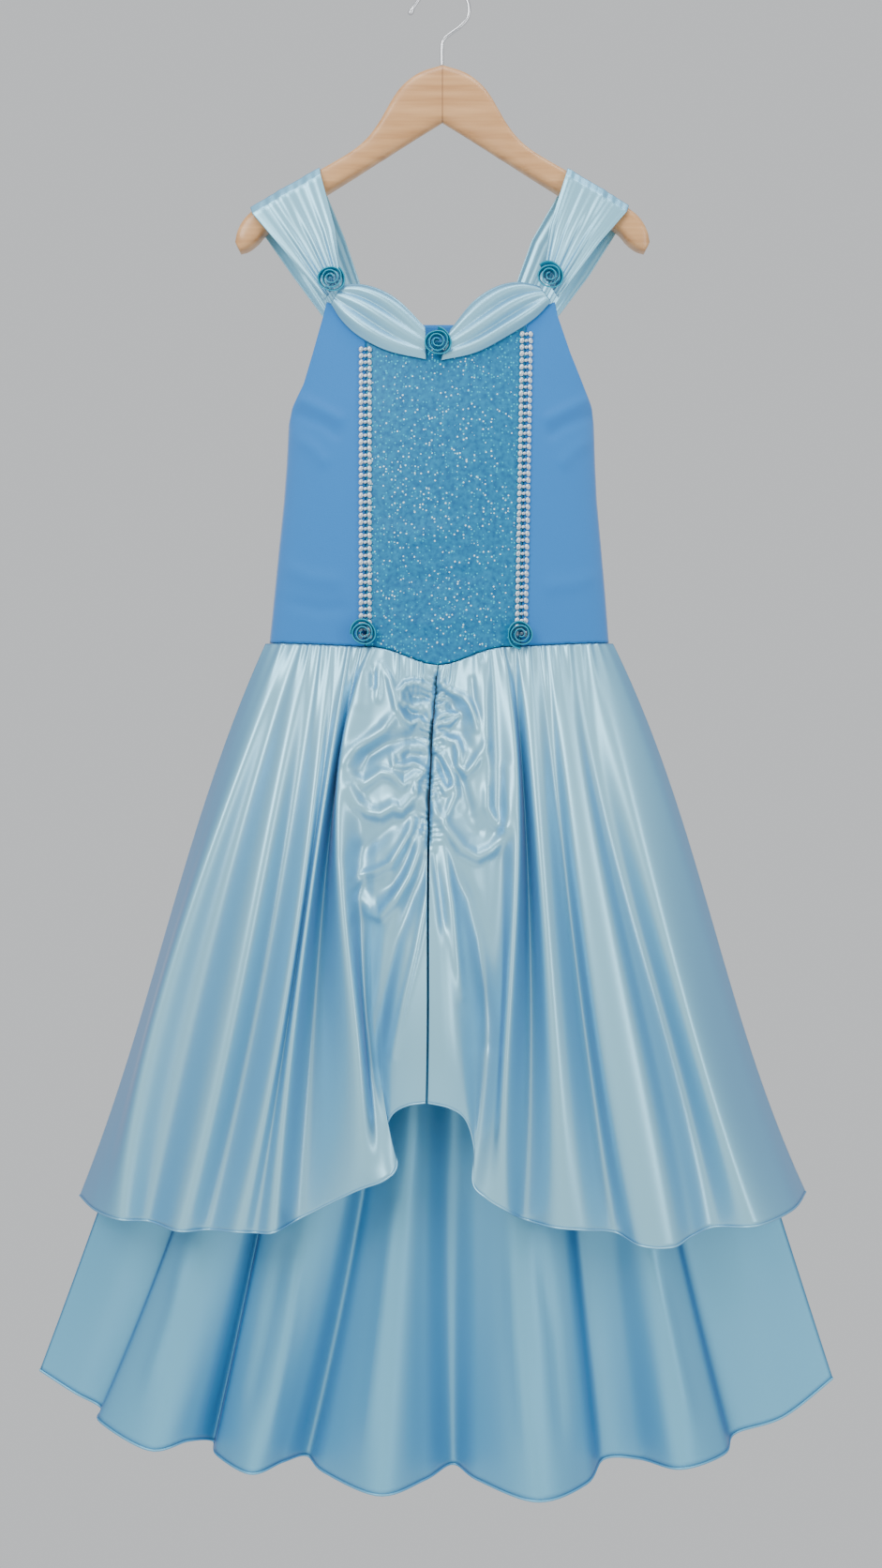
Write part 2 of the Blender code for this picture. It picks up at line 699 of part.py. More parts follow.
def make_underskirt(satin):
    """The longer skirt beneath, front and back."""
    first_x, last_x = UNDER_WAIST_X

    def front(u, v, column, row):
        point = skirt_point(
            UNDERSKIRT, UNDER_LEVELS, first_x, last_x, UNDER_INSET, u, v
        )
        across = abs(2.0 * u - 1.0)
        pucker = PUCKER_DEPTH * (column % 2) * clamp(1.0 - row / 2.0)
        point.y += pucker * smooth((1.0 - across) * 7.0)
        point.z -= UNDER_TOP_DROP * (1.0 - v)
        return point

    def edge(index):
        def at(v):
            point = rib_at(
                UNDERSKIRT, UNDER_LEVELS, first_x, last_x, UNDER_INSET, index, v
            )
            point.z -= UNDER_TOP_DROP * (1.0 - v)
            return point
        return at

    cloth("underskirt_front", UNDER_COLUMNS, UNDER_ROWS, front, satin)
    cloth("underskirt_back", UNDER_BACK_COLUMNS, UNDER_BACK_ROWS, skirt_back_surface(
        edge(0), edge(len(UNDERSKIRT) - 1),
        (UNDER_BACK_WAIST_DEPTH, UNDER_BACK_HEM_DEPTH), UNDER_BACK_FOLDS,
        UNDER_BACK_FOLD_DEPTH, UNDER_BACK_HEM_DROP, 1.0), satin)


def main():
    """Build every piece of the dress and its hanger."""
    clear_scene()
    wood = make_material("hanger_wood", (0.62, 0.33, 0.13), 0.35, 0.0)
    chrome = make_material("hook_chrome", (0.75, 0.76, 0.78), 0.2, 1.0)
    glitter = make_material("glitter_cloth", (0.0, 0.22, 0.42), 0.4, 0.3)
    knit = make_material("knit_blue", (0.02, 0.22, 0.55), 0.8, 0.0)
    satin = make_material("satin_blue", (0.12, 0.45, 0.68), 0.35, 0.2)
    under = make_material("satin_under", (0.08, 0.36, 0.58), 0.45, 0.1)
    silver = make_material("silver_braid", (0.6, 0.65, 0.7), 0.4, 0.7)
    rose = make_material("rose_ribbon", (0.01, 0.33, 0.48), 0.45, 0.1)
    make_hanger(wood)
    make_hook(chrome)
    make_bodice(glitter, knit)
    make_trim(satin, silver, rose)
    make_overskirt(satin)
    make_underskirt(under)


main()
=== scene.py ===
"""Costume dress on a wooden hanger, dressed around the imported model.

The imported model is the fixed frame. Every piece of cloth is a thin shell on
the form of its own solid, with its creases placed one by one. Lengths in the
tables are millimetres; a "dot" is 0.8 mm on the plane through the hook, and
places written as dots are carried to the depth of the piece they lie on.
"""
import logging
import math
from dataclasses import dataclass, field
from enum import Enum
from typing import Callable, Sequence

import bmesh
import bpy
import numpy as np
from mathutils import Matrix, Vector


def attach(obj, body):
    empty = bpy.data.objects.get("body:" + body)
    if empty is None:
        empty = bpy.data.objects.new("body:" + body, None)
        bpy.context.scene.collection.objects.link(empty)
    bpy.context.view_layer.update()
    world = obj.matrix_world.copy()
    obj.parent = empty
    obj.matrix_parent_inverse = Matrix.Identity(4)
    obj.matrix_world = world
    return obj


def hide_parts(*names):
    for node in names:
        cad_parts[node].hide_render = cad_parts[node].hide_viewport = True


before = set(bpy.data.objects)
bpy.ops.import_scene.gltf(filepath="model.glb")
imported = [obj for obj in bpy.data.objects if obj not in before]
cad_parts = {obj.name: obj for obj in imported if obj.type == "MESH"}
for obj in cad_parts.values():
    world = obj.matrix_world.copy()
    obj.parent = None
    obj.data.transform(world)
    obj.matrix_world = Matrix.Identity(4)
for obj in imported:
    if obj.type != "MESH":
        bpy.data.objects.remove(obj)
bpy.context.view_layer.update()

LOG = logging.getLogger("dress")
MM = 0.001
DOT = 0.8
EYE_BACK = 1700.0
EYE_Z = -683.2
CENTRE_DOT = (470.0, 836.0)
SHELL = 0.9
BODICE_CREASE_Y = -25.0
OVERSKIRT_CREASE_Y = -66.0
UNDERSKIRT_CREASE_Y = -70.0
WELD = 0.00002
DRAPE_STAND = 2.0
TUCK_PITCHES = 52.0
HEM_STEPS = 200
SEAM_GAP = 0.8
SIDE_GAP = 0.55
ROUNDNESS = 2.4
UNDERARM_Z = -379.0
APEX_Z = -277.0
NECK_SIDE_Z = -290.0
NECK_CENTRE_Z = -311.0
WAIST_SIDE_Z = -563.0
WAIST_BRAID_Z = -567.5
WAIST_CENTRE_Z = -583.0
CENTRE_X = -2.4

Array = np.ndarray
Surface = Callable[[Array, Array], Array]


class Weave(Enum):
    """What a finish is made of."""

    SATIN = "satin"
    KNIT = "knit"
    GLITTER = "glitter"
    BRAID = "braid"
    WOOD = "wood"
    CHROME = "chrome"
    PLAIN = "plain"


@dataclass(frozen=True)
class Finish:
    """A finish: its colour and how it takes the light."""

    name: str
    slot: str
    weave: Weave
    colour: tuple[float, float, float]
    roughness: float
    metallic: float = 0.0
    sheen: float = 0.0
    # Darker colour: painted shade on satin at glancing angles; the dark tone of the glitter ground, braid
    # threads and wood grain.
    painted_shade_and_dark_tone: tuple[float, float, float] = (0.0, 0.1, 0.3)

    def material(self) -> bpy.types.Material:
        """Give the finish as a material, made once.

        Returns:
            The material of this finish.
        """
        found = bpy.data.materials.get(self.name)
        return found if found else NodeKit(self).build()


class NodeKit:
    """Wires the nodes of one finish."""

    def __init__(self, finish: Finish) -> None:
        """Start from a Principled material.

        Args:
            finish: the finish to build.
        """
        self.finish = finish
        self.material = bpy.data.materials.new(finish.name)
        self.material.use_nodes = True
        self.tree = self.material.node_tree
        self.shader = self.tree.nodes["Principled BSDF"]

    def node(self, kind: str, **values: object) -> bpy.types.Node:
        """Add a node with its properties set.

        Args:
            kind: the node type.
            values: properties of the node.

        Returns:
            The new node.
        """
        item = self.tree.nodes.new(kind)
        for key, value in values.items():
            setattr(item, key, value)
        return item

    def link(self, start: bpy.types.NodeSocket, end: bpy.types.NodeSocket) -> None:
        """Join two sockets."""
        self.tree.links.new(start, end)

    def coordinates(self, scale: tuple[float, float, float]) -> bpy.types.NodeSocket:
        """Give Object coordinates times a scale."""
        place = self.node("ShaderNodeTexCoord")
        mapping = self.node("ShaderNodeMapping")
        mapping.inputs["Scale"].default_value = scale
        self.link(place.outputs["Object"], mapping.inputs["Vector"])
        return mapping.outputs["Vector"]

    def ramp(self, stops: Sequence[tuple[float, tuple[float, float, float]]],
             source: bpy.types.NodeSocket) -> bpy.types.NodeSocket:
        """Colour a value by stops.

        Args:
            stops: place and colour of each stop.
            source: the value.

        Returns:
            The colour socket.
        """
        item = self.node("ShaderNodeValToRGB")
        item.color_ramp.elements[0].position = stops[0][0]
        item.color_ramp.elements[0].color = (*stops[0][1], 1.0)
        item.color_ramp.elements[1].position = stops[-1][0]
        item.color_ramp.elements[1].color = (*stops[-1][1], 1.0)
        for place, colour in stops[1:-1]:
            item.color_ramp.elements.new(place).color = (*colour, 1.0)
        self.link(source, item.inputs["Fac"])
        return item.outputs["Color"]

    def bump(self, height: bpy.types.NodeSocket, strength: float, distance: float) -> None:
        """Press a height into the surface.

        Args:
            height: the height socket.
            strength: share of the effect.
            distance: depth in metres.
        """
        item = self.node("ShaderNodeBump")
        item.inputs["Strength"].default_value = strength
        item.inputs["Distance"].default_value = distance
        self.link(height, item.inputs["Height"])
        self.link(item.outputs["Normal"], self.shader.inputs["Normal"])

    def noise(self, vector: bpy.types.NodeSocket, scale: float,
              detail: float = 3.0) -> bpy.types.NodeSocket:
        """Give a noise value over coordinates."""
        item = self.node("ShaderNodeTexNoise")
        item.inputs["Scale"].default_value = scale
        item.inputs["Detail"].default_value = detail
        self.link(vector, item.inputs["Vector"])
        return item.outputs["Fac"]

    def build(self) -> bpy.types.Material:
        """Set the shader and add what the weave needs.

        Returns:
            The finished material.
        """
        finish = self.finish
        sockets = self.shader.inputs
        sockets["Base Color"].default_value = (*finish.colour, 1.0)
        sockets["Roughness"].default_value = finish.roughness
        sockets["Metallic"].default_value = finish.metallic
        sockets["Sheen Weight"].default_value = finish.sheen
        steps = {
            Weave.SATIN: self.satin,
            Weave.KNIT: self.knit,
            Weave.GLITTER: self.glitter,
            Weave.BRAID: self.braid,
            Weave.WOOD: self.wood,
        }
        if finish.weave in steps:
            steps[finish.weave]()
        self.material.diffuse_color = (*finish.colour, 1.0)
        return self.material

    def satin(self) -> None:
        """Painted shade: a deeper colour where the cloth turns away from the view, over a fine thread."""
        # Painted shade: the Layer Weight facing mixes the base colour towards the darker colour at glancing
        # angles.
        facing = self.node("ShaderNodeLayerWeight")
        facing.inputs["Blend"].default_value = 0.35
        colour = self.ramp(
            [(0.0, self.finish.colour), (0.75, self.finish.painted_shade_and_dark_tone)],
            facing.outputs["Facing"],
        )
        self.link(colour, self.shader.inputs["Base Color"])
        self.shader.inputs["Sheen Roughness"].default_value = 0.3
        fine = self.noise(self.coordinates((1.0, 1.0, 1.0)), 900.0, 2.0)
        self.bump(fine, 0.05, 0.0002)

    def knit(self) -> None:
        """Matte knit: a fine even grain."""
        grain = self.noise(self.coordinates((1.0, 1.0, 0.7)), 1400.0, 3.0)
        self.bump(grain, 0.35, 0.0004)

    def glitter(self) -> None:
        """Dots of glitter scattered over the ground cloth, glowing as painted glints."""
        vector = self.coordinates((1.0, 0.15, 1.0))
        cells = self.node("ShaderNodeTexVoronoi")
        cells.inputs["Scale"].default_value = 420.0
        self.link(vector, cells.inputs["Vector"])
        spot = self.node("ShaderNodeMath", operation="LESS_THAN")
        spot.inputs[1].default_value = 0.3
        self.link(cells.outputs["Distance"], spot.inputs[0])
        split = self.node("ShaderNodeSeparateColor")
        self.link(cells.outputs["Color"], split.inputs["Color"])
        chance = self.node("ShaderNodeMath", operation="GREATER_THAN")
        chance.inputs[1].default_value = 0.52
        self.link(split.outputs["Red"], chance.inputs[0])
        both = self.node("ShaderNodeMath", operation="MULTIPLY")
        self.link(spot.outputs[0], both.inputs[0])
        self.link(chance.outputs[0], both.inputs[1])
        dot_and_glint_colour = self.ramp(
            [(0.0, (0.0, 0.35, 0.5)), (0.55, (0.02, 0.6, 0.75)), (1.0, (0.75, 0.98, 1.0))],
            split.outputs["Green"],
        )
        mixer = self.node("ShaderNodeMix", data_type="RGBA")
        self.link(both.outputs[0], mixer.inputs["Factor"])
        ground = self.ramp(
            [(0.3, self.finish.painted_shade_and_dark_tone), (0.7, self.finish.colour)],
            self.noise(vector, 260.0, 2.0),
        )
        self.link(ground, mixer.inputs["A"])
        self.link(dot_and_glint_colour, mixer.inputs["B"])
        self.link(mixer.outputs["Result"], self.shader.inputs["Base Color"])
        # Painted glints: the glitter dots glow in their own colour, though they are no lamp.
        painted_glint_glow = self.node("ShaderNodeMath", operation="MULTIPLY")
        self.link(both.outputs[0], painted_glint_glow.inputs[0])
        painted_glint_glow.inputs[1].default_value = 0.22
        self.link(dot_and_glint_colour, self.shader.inputs["Emission Color"])
        self.link(painted_glint_glow.outputs[0], self.shader.inputs["Emission Strength"])
        self.bump(self.noise(vector, 700.0, 2.0), 0.4, 0.0005)

    def braid(self) -> None:
        """Silver threads with a fine twist."""
        fine = self.noise(self.coordinates((1.0, 1.0, 2.0)), 1500.0, 2.0)
        colour = self.ramp([(0.35, self.finish.painted_shade_and_dark_tone), (0.6, self.finish.colour)], fine)
        self.link(colour, self.shader.inputs["Base Color"])
        self.bump(fine, 0.4, 0.0004)

    def wood(self) -> None:
        """Grain along each arm, meeting in a mitre at the centre."""
        place = self.node("ShaderNodeTexCoord")
        split = self.node("ShaderNodeSeparateXYZ")
        self.link(place.outputs["Object"], split.inputs["Vector"])
        away = self.node("ShaderNodeMath", operation="SUBTRACT")
        away.inputs[1].default_value = 0.0012
        self.link(split.outputs["X"], away.inputs[0])
        side = self.node("ShaderNodeMath", operation="ABSOLUTE")
        self.link(away.outputs[0], side.inputs[0])
        joined = self.node("ShaderNodeCombineXYZ")
        self.link(side.outputs[0], joined.inputs["X"])
        self.link(split.outputs["Y"], joined.inputs["Y"])
        self.link(split.outputs["Z"], joined.inputs["Z"])
        turn = self.node("ShaderNodeMapping")
        turn.inputs["Rotation"].default_value = (0.0, -0.56, 0.0)
        turn.inputs["Scale"].default_value = (6.0, 60.0, 110.0)
        self.link(joined.outputs["Vector"], turn.inputs["Vector"])
        grain = self.noise(turn.outputs["Vector"], 1.6, 5.0)
        colour = self.ramp([(0.3, self.finish.painted_shade_and_dark_tone), (0.68, self.finish.colour)], grain)
        seam = self.node("ShaderNodeMath", operation="LESS_THAN")
        seam.inputs[1].default_value = 0.0003
        self.link(side.outputs[0], seam.inputs[0])
        mixer = self.node("ShaderNodeMix", data_type="RGBA")
        self.link(seam.outputs[0], mixer.inputs["Factor"])
        self.link(colour, mixer.inputs["A"])
        mixer.inputs["B"].default_value = (0.16, 0.07, 0.03, 1.0)
        self.link(mixer.outputs["Result"], self.shader.inputs["Base Color"])
        self.shader.inputs["Coat Weight"].default_value = 0.35
        self.shader.inputs["Coat Roughness"].default_value = 0.15
        self.bump(grain, 0.06, 0.0006)


# For the satin finishes the last colour is the painted shade at glancing angles.
BRIGHT = Finish("satin_bright", "satin_blue", Weave.SATIN, (0.34, 0.72, 0.88), 0.34,
                0.5, 0.25, (0.0, 0.2, 0.5))
DULL = Finish("satin_lower", "satin_under", Weave.SATIN, (0.2, 0.58, 0.8), 0.42,
              0.42, 0.2, (0.0, 0.17, 0.46))
KNIT = Finish("knit_side", "knit_blue", Weave.KNIT, (0.012, 0.2, 0.58), 0.85, 0.0, 0.3)
GLITTER = Finish("glitter_front", "glitter_cloth", Weave.GLITTER, (0.0, 0.24, 0.46), 0.5,
                 0.2, 0.0, (0.0, 0.13, 0.32))
SILVER = Finish("braid_silver", "silver_braid", Weave.BRAID, (0.8, 0.88, 0.92), 0.32,
                0.75, 0.0, (0.35, 0.45, 0.52))
RIBBON = Finish("rose_teal", "rose_ribbon", Weave.SATIN, (0.01, 0.4, 0.56), 0.45, 0.2, 0.2,
                (0.0, 0.14, 0.26))
WOOD = Finish("wood_light", "hanger_wood", Weave.WOOD, (0.72, 0.4, 0.17), 0.38,
              painted_shade_and_dark_tone=(0.5, 0.24, 0.085))
CHROME = Finish("hook_plating", "hook_chrome", Weave.CHROME, (0.72, 0.73, 0.75), 0.16, 1.0)
PALE = Finish("pale_floor", "", Weave.PLAIN, (0.86, 0.87, 0.88), 0.8)


def mix(start: Array | float, end: Array | float, share: Array | float) -> Array | float:
    """Straight mix of two values."""
    return start + (end - start) * share


def smooth(value: Array | float) -> Array | float:
    """Soft step from 0 to 1."""
    held = np.clip(value, 0.0, 1.0)
    return held * held * (3.0 - 2.0 * held)


def from_dots(column: float, row: float, depth: float) -> tuple[float, float]:
    """Carry a dot to its place at a depth.

    Args:
        column: dots from the left.
        row: dots from the top.
        depth: how far towards -Y the place lies, in millimetres, negative in front.

    Returns:
        The x and z of the place in millimetres.
    """
    scale = DOT * (EYE_BACK + depth) / EYE_BACK
    return (column - CENTRE_DOT[0]) * scale, EYE_Z - (row - CENTRE_DOT[1]) * scale


@dataclass(frozen=True)
class Crease:
    """A soft ridge or trough laid over a surface along dots.

    A height above 0 is a ridge towards the front, below 0 a trough. The
    crease fades at its start and end by the two shares.
    """

    height: float
    reach: float
    dots: tuple[tuple[float, float], ...]
    start: float = 0.2
    end: float = 1.0
    steep: float = 1.0

    def lift(self, x: Array, z: Array, depth: float) -> Array:
        """Height of the crease at places of the surface.

        Args:
            x: places across, millimetres.
            z: places up, millimetres.
            depth: depth of the dots.

        Returns:
            The lift towards the front in millimetres.
        """
        line = np.array([from_dots(a, b, depth) for a, b in self.dots])
        steps = np.linalg.norm(np.diff(line, axis=0), axis=1)
        total = steps.sum()
        best = np.full(x.shape, 1e9)
        along = np.zeros(x.shape)
        side = np.zeros(x.shape)
        before = 0.0
        for (ax, az), (bx, bz), step in zip(line[:-1], line[1:], steps):
            dx, dz = (bx - ax) / step, (bz - az) / step
            share = np.clip((x - ax) * dx + (z - az) * dz, 0.0, step)
            off_x = x - ax - dx * share
            off_z = z - az - dz * share
            away = np.hypot(off_x, off_z)
            nearer = away < best
            best = np.where(nearer, away, best)
            along = np.where(nearer, (before + share) / total, along)
            side = np.where(nearer, dx * off_z - dz * off_x, side)
            before += step
        fade = mix(self.start, 1.0, smooth(along * 4.0))
        fade = fade * mix(self.end, 1.0, smooth((1.0 - along) * 4.0))
        width = self.reach * np.where(side > 0.0, self.steep, 1.0)
        return self.height * fade * np.exp(-((best / width) ** 2))


def lift_all(creases: Sequence[Crease], x: Array, z: Array, depth: float) -> Array:
    """Sum of the lifts of many creases.

    Args:
        creases: the creases of a piece.
        x: places across.
        z: places up.
        depth: depth of the piece.

    Returns:
        The whole lift in millimetres.
    """
    total = np.zeros(x.shape)
    for crease in creases:
        total += crease.lift(x, z, depth)
    return total


def table_columns(table: Sequence[tuple[float, ...]], key: Array, column: int) -> Array:
    """Read one column of a table, mixed at keys of its first column."""
    rows = np.array(sorted(row for row in table))
    return np.interp(key, rows[:, 0], rows[:, column])


@dataclass
class Maker:
    """Makes pieces and hands them to the frame."""

    pieces: list[bpy.types.Object] = field(default_factory=list)

    def hand_over(self, item: bpy.types.Object, finish: Finish, *nodes: str) -> bpy.types.Object:
        """Give a piece its finish and body.

        Args:
            item: the piece.
            finish: its finish.
            nodes: the nodes that it stands for.

        Returns:
            The piece.
        """
        item.data.materials.append(finish.material())
        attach(item, "root")
        if nodes:
            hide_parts(*nodes)
        self.pieces.append(item)
        LOG.info("piece %s", item.name)
        return item

    def link(self, name: str, data: bpy.types.ID) -> bpy.types.Object:
        """Put data into the scene as an object."""
        item = bpy.data.objects.new(name, data)
        bpy.context.scene.collection.objects.link(item)
        return item

    def mesh(self, name: str, bm: bmesh.types.BMesh) -> bpy.types.Object:
        """Turn a bmesh into a smooth object.

        Args:
            name: name of the piece.
            bm: the mesh, freed here.

        Returns:
            The object.
        """
        for face in bm.faces:
            face.smooth = True
        data = bpy.data.meshes.new(name)
        bm.to_mesh(data)
        bm.free()
        return self.link(name, data)

    def grid(self, columns: int, rows: int, surface: Surface) -> bmesh.types.BMesh:
        """Carry a grid over a surface given in millimetres.

        Args:
            columns: steps along u.
            rows: steps along v.
            surface: gives points for arrays of u and v.

        Returns:
            The mesh.
        """
        bm = bmesh.new()
        bmesh.ops.create_grid(bm, x_segments=columns, y_segments=rows, size=0.5)
        flat = np.array([(vert.co.x + 0.5, vert.co.y + 0.5) for vert in bm.verts])
        points = surface(flat[:, 0], flat[:, 1]) * MM
        for vert, point in zip(bm.verts, points):
            vert.co = point
        return bm

    def shell(self, name: str, columns: int, rows: int, surface: Surface,
              finish: Finish, *nodes: str, thickness: float = SHELL) -> bpy.types.Object:
        """A thin shell of cloth on a surface.

        Args:
            name: name of the piece.
            columns: steps along u.
            rows: steps along v.
            surface: gives points for arrays of u and v.
            finish: finish of the cloth.
            nodes: the nodes that it stands for.
            thickness: thickness in millimetres.

        Returns:
            The piece.
        """
        item = self.mesh(name, self.grid(columns, rows, surface))
        solid = item.modifiers.new("wall", "SOLIDIFY")
        solid.thickness = thickness * MM
        solid.offset = 0.0
        return self.hand_over(item, finish, *nodes)

    def tube(self, name: str, points: Array, radius: float, finish: Finish,
             *nodes: str, shares: Array | None = None) -> bpy.types.Object:
        """A round tube along points in millimetres.

        Args:
            name: name of the piece.
            points: places along the tube.
            radius: its radius in millimetres.
            finish: its finish.
            nodes: the nodes that it stands for.
            shares: share of the radius at each point.

        Returns:
            The piece.
        """
        data = bpy.data.curves.new(name, "CURVE")
        data.dimensions = "3D"
        data.bevel_depth = radius * MM
        data.bevel_resolution = 4
        data.use_fill_caps = True
        spline = data.splines.new("POLY")
        spline.points.add(len(points) - 1)
        for index, point in enumerate(points):
            spline.points[index].co = (*(point * MM), 1.0)
            if shares is not None:
                spline.points[index].radius = shares[index]
        spline.use_smooth = True
        return self.hand_over(self.link(name, data), finish, *nodes)


def resample(table: Sequence[tuple[float, ...]], steps: int) -> Array:
    """Smooth curve through the rows of a table.

    Args:
        table: rows of values.
        steps: steps between two rows.

    Returns:
        The finer rows.
    """
    rows = np.array(table, dtype=float)
    padded = np.vstack([2 * rows[0] - rows[1], rows, 2 * rows[-1] - rows[-2]])
    out = []
    for i in range(1, len(padded) - 2):
        for step in range(steps):
            out.append(catmull(*padded[i - 1:i + 3], step / steps))
    out.append(rows[-1])
    return np.array(out)


def catmull(a: Array, b: Array, c: Array, d: Array, share: Array | float) -> Array:
    """Smooth curve from b to c with a and d as neighbours."""
    square = share * share
    cube = square * share
    return 0.5 * (2.0 * b + (c - a) * share + (2.0 * a - 5.0 * b + 4.0 * c - d) * square
                  + (3.0 * b - a - 3.0 * c + d) * cube)


@dataclass
class Hanger:
    """The wooden hanger and its wire hook."""

    wire: float = 1.65
    centre: float = 1.2
    ring: int = 28
    square: float = 0.55
    stations: tuple[tuple[float, ...], ...] = (
        (0.0, -70.6, 0.0, -119.0, 14.0), (19.5, -77.0, 19.5, -131.0, 14.5),
        (33.0, -87.0, 33.0, -139.5, 15.0), (41.0, -97.0, 41.0, -144.5, 15.5),
        (48.0, -109.0, 48.0, -149.0, 16.0), (54.0, -119.5, 54.0, -152.5, 16.5),
        (64.0, -133.0, 63.0, -158.2, 17.0), (78.0, -145.0, 76.0, -166.4, 18.0),
        (104.0, -160.5, 98.0, -180.0, 19.5), (132.0, -177.3, 124.0, -196.8, 21.5),
        (159.0, -194.0, 148.0, -212.3, 23.0), (169.0, -203.0, 157.0, -222.0, 23.5),
        (174.5, -213.0, 165.0, -228.0, 22.0), (176.5, -222.0, 172.0, -230.5, 17.0),
    )
    hook: tuple[tuple[float, ...], ...] = (
        (-26.6, -27.4, 0.4), (-26.3, -26.4, 1.35), (-25.6, -24.6, 1.5), (-24.6, -22.8, 1.35),
        (-23.6, -21.0, 1.0), (-18.6, -13.6, 1.0), (-13.2, -4.6, 1.0), (-6.6, 0.3, 1.0),
        (0.0, 1.65, 1.0), (7.4, 0.9, 1.0), (14.6, -3.4, 1.0), (20.4, -10.6, 1.0),
        (23.9, -19.4, 1.0), (23.0, -29.0, 1.0), (17.0, -36.6, 1.0), (7.6, -43.6, 1.0),
        (2.2, -48.6, 1.0), (0.9, -55.0, 1.0), (0.9, -70.0, 1.0),
    )

    def body_surface(self, u: Array, v: Array) -> Array:
        """Points round the hanger's bar, from tip to tip."""
        fine = resample(self.stations, 4)
        left = fine[:0:-1] * np.array([-1.0, 1.0, -1.0, 1.0, 1.0])
        rows = np.vstack([left, fine])
        place = v * (len(rows) - 1)
        keys = np.arange(len(rows))
        top_x, top_z, low_x, low_z, depth = (
            np.interp(place, keys, rows[:, k]) for k in range(5))
        angle = 2.0 * math.pi * u
        up = np.sign(np.cos(angle)) * np.abs(np.cos(angle)) ** self.square
        out = np.sign(np.sin(angle)) * np.abs(np.sin(angle)) ** self.square
        share = 0.5 + 0.5 * up
        return np.stack([mix(low_x, top_x, share) + self.centre, 0.5 * depth * out,
                         mix(low_z, top_z, share)], axis=1)

    def build(self, maker: Maker) -> None:
        """Make the wood and the wire.

        Args:
            maker: makes the pieces.
        """
        bm = maker.grid(self.ring, 8 * (len(self.stations) - 1), self.body_surface)
        bmesh.ops.remove_doubles(bm, verts=list(bm.verts), dist=WELD)
        ends = [edge for edge in bm.edges if edge.is_boundary]
        bmesh.ops.holes_fill(bm, edges=ends, sides=0)
        bmesh.ops.recalc_face_normals(bm, faces=list(bm.faces))
        maker.hand_over(maker.mesh("hanger_wood_bar", bm), WOOD, "hanger_body")
        fine = resample(self.hook, 6)
        points = np.stack([fine[:, 0], np.zeros(len(fine)), fine[:, 1]], axis=1)
        maker.tube("hook_wire", points, self.wire, CHROME, "hanger_hook", shares=fine[:, 2])


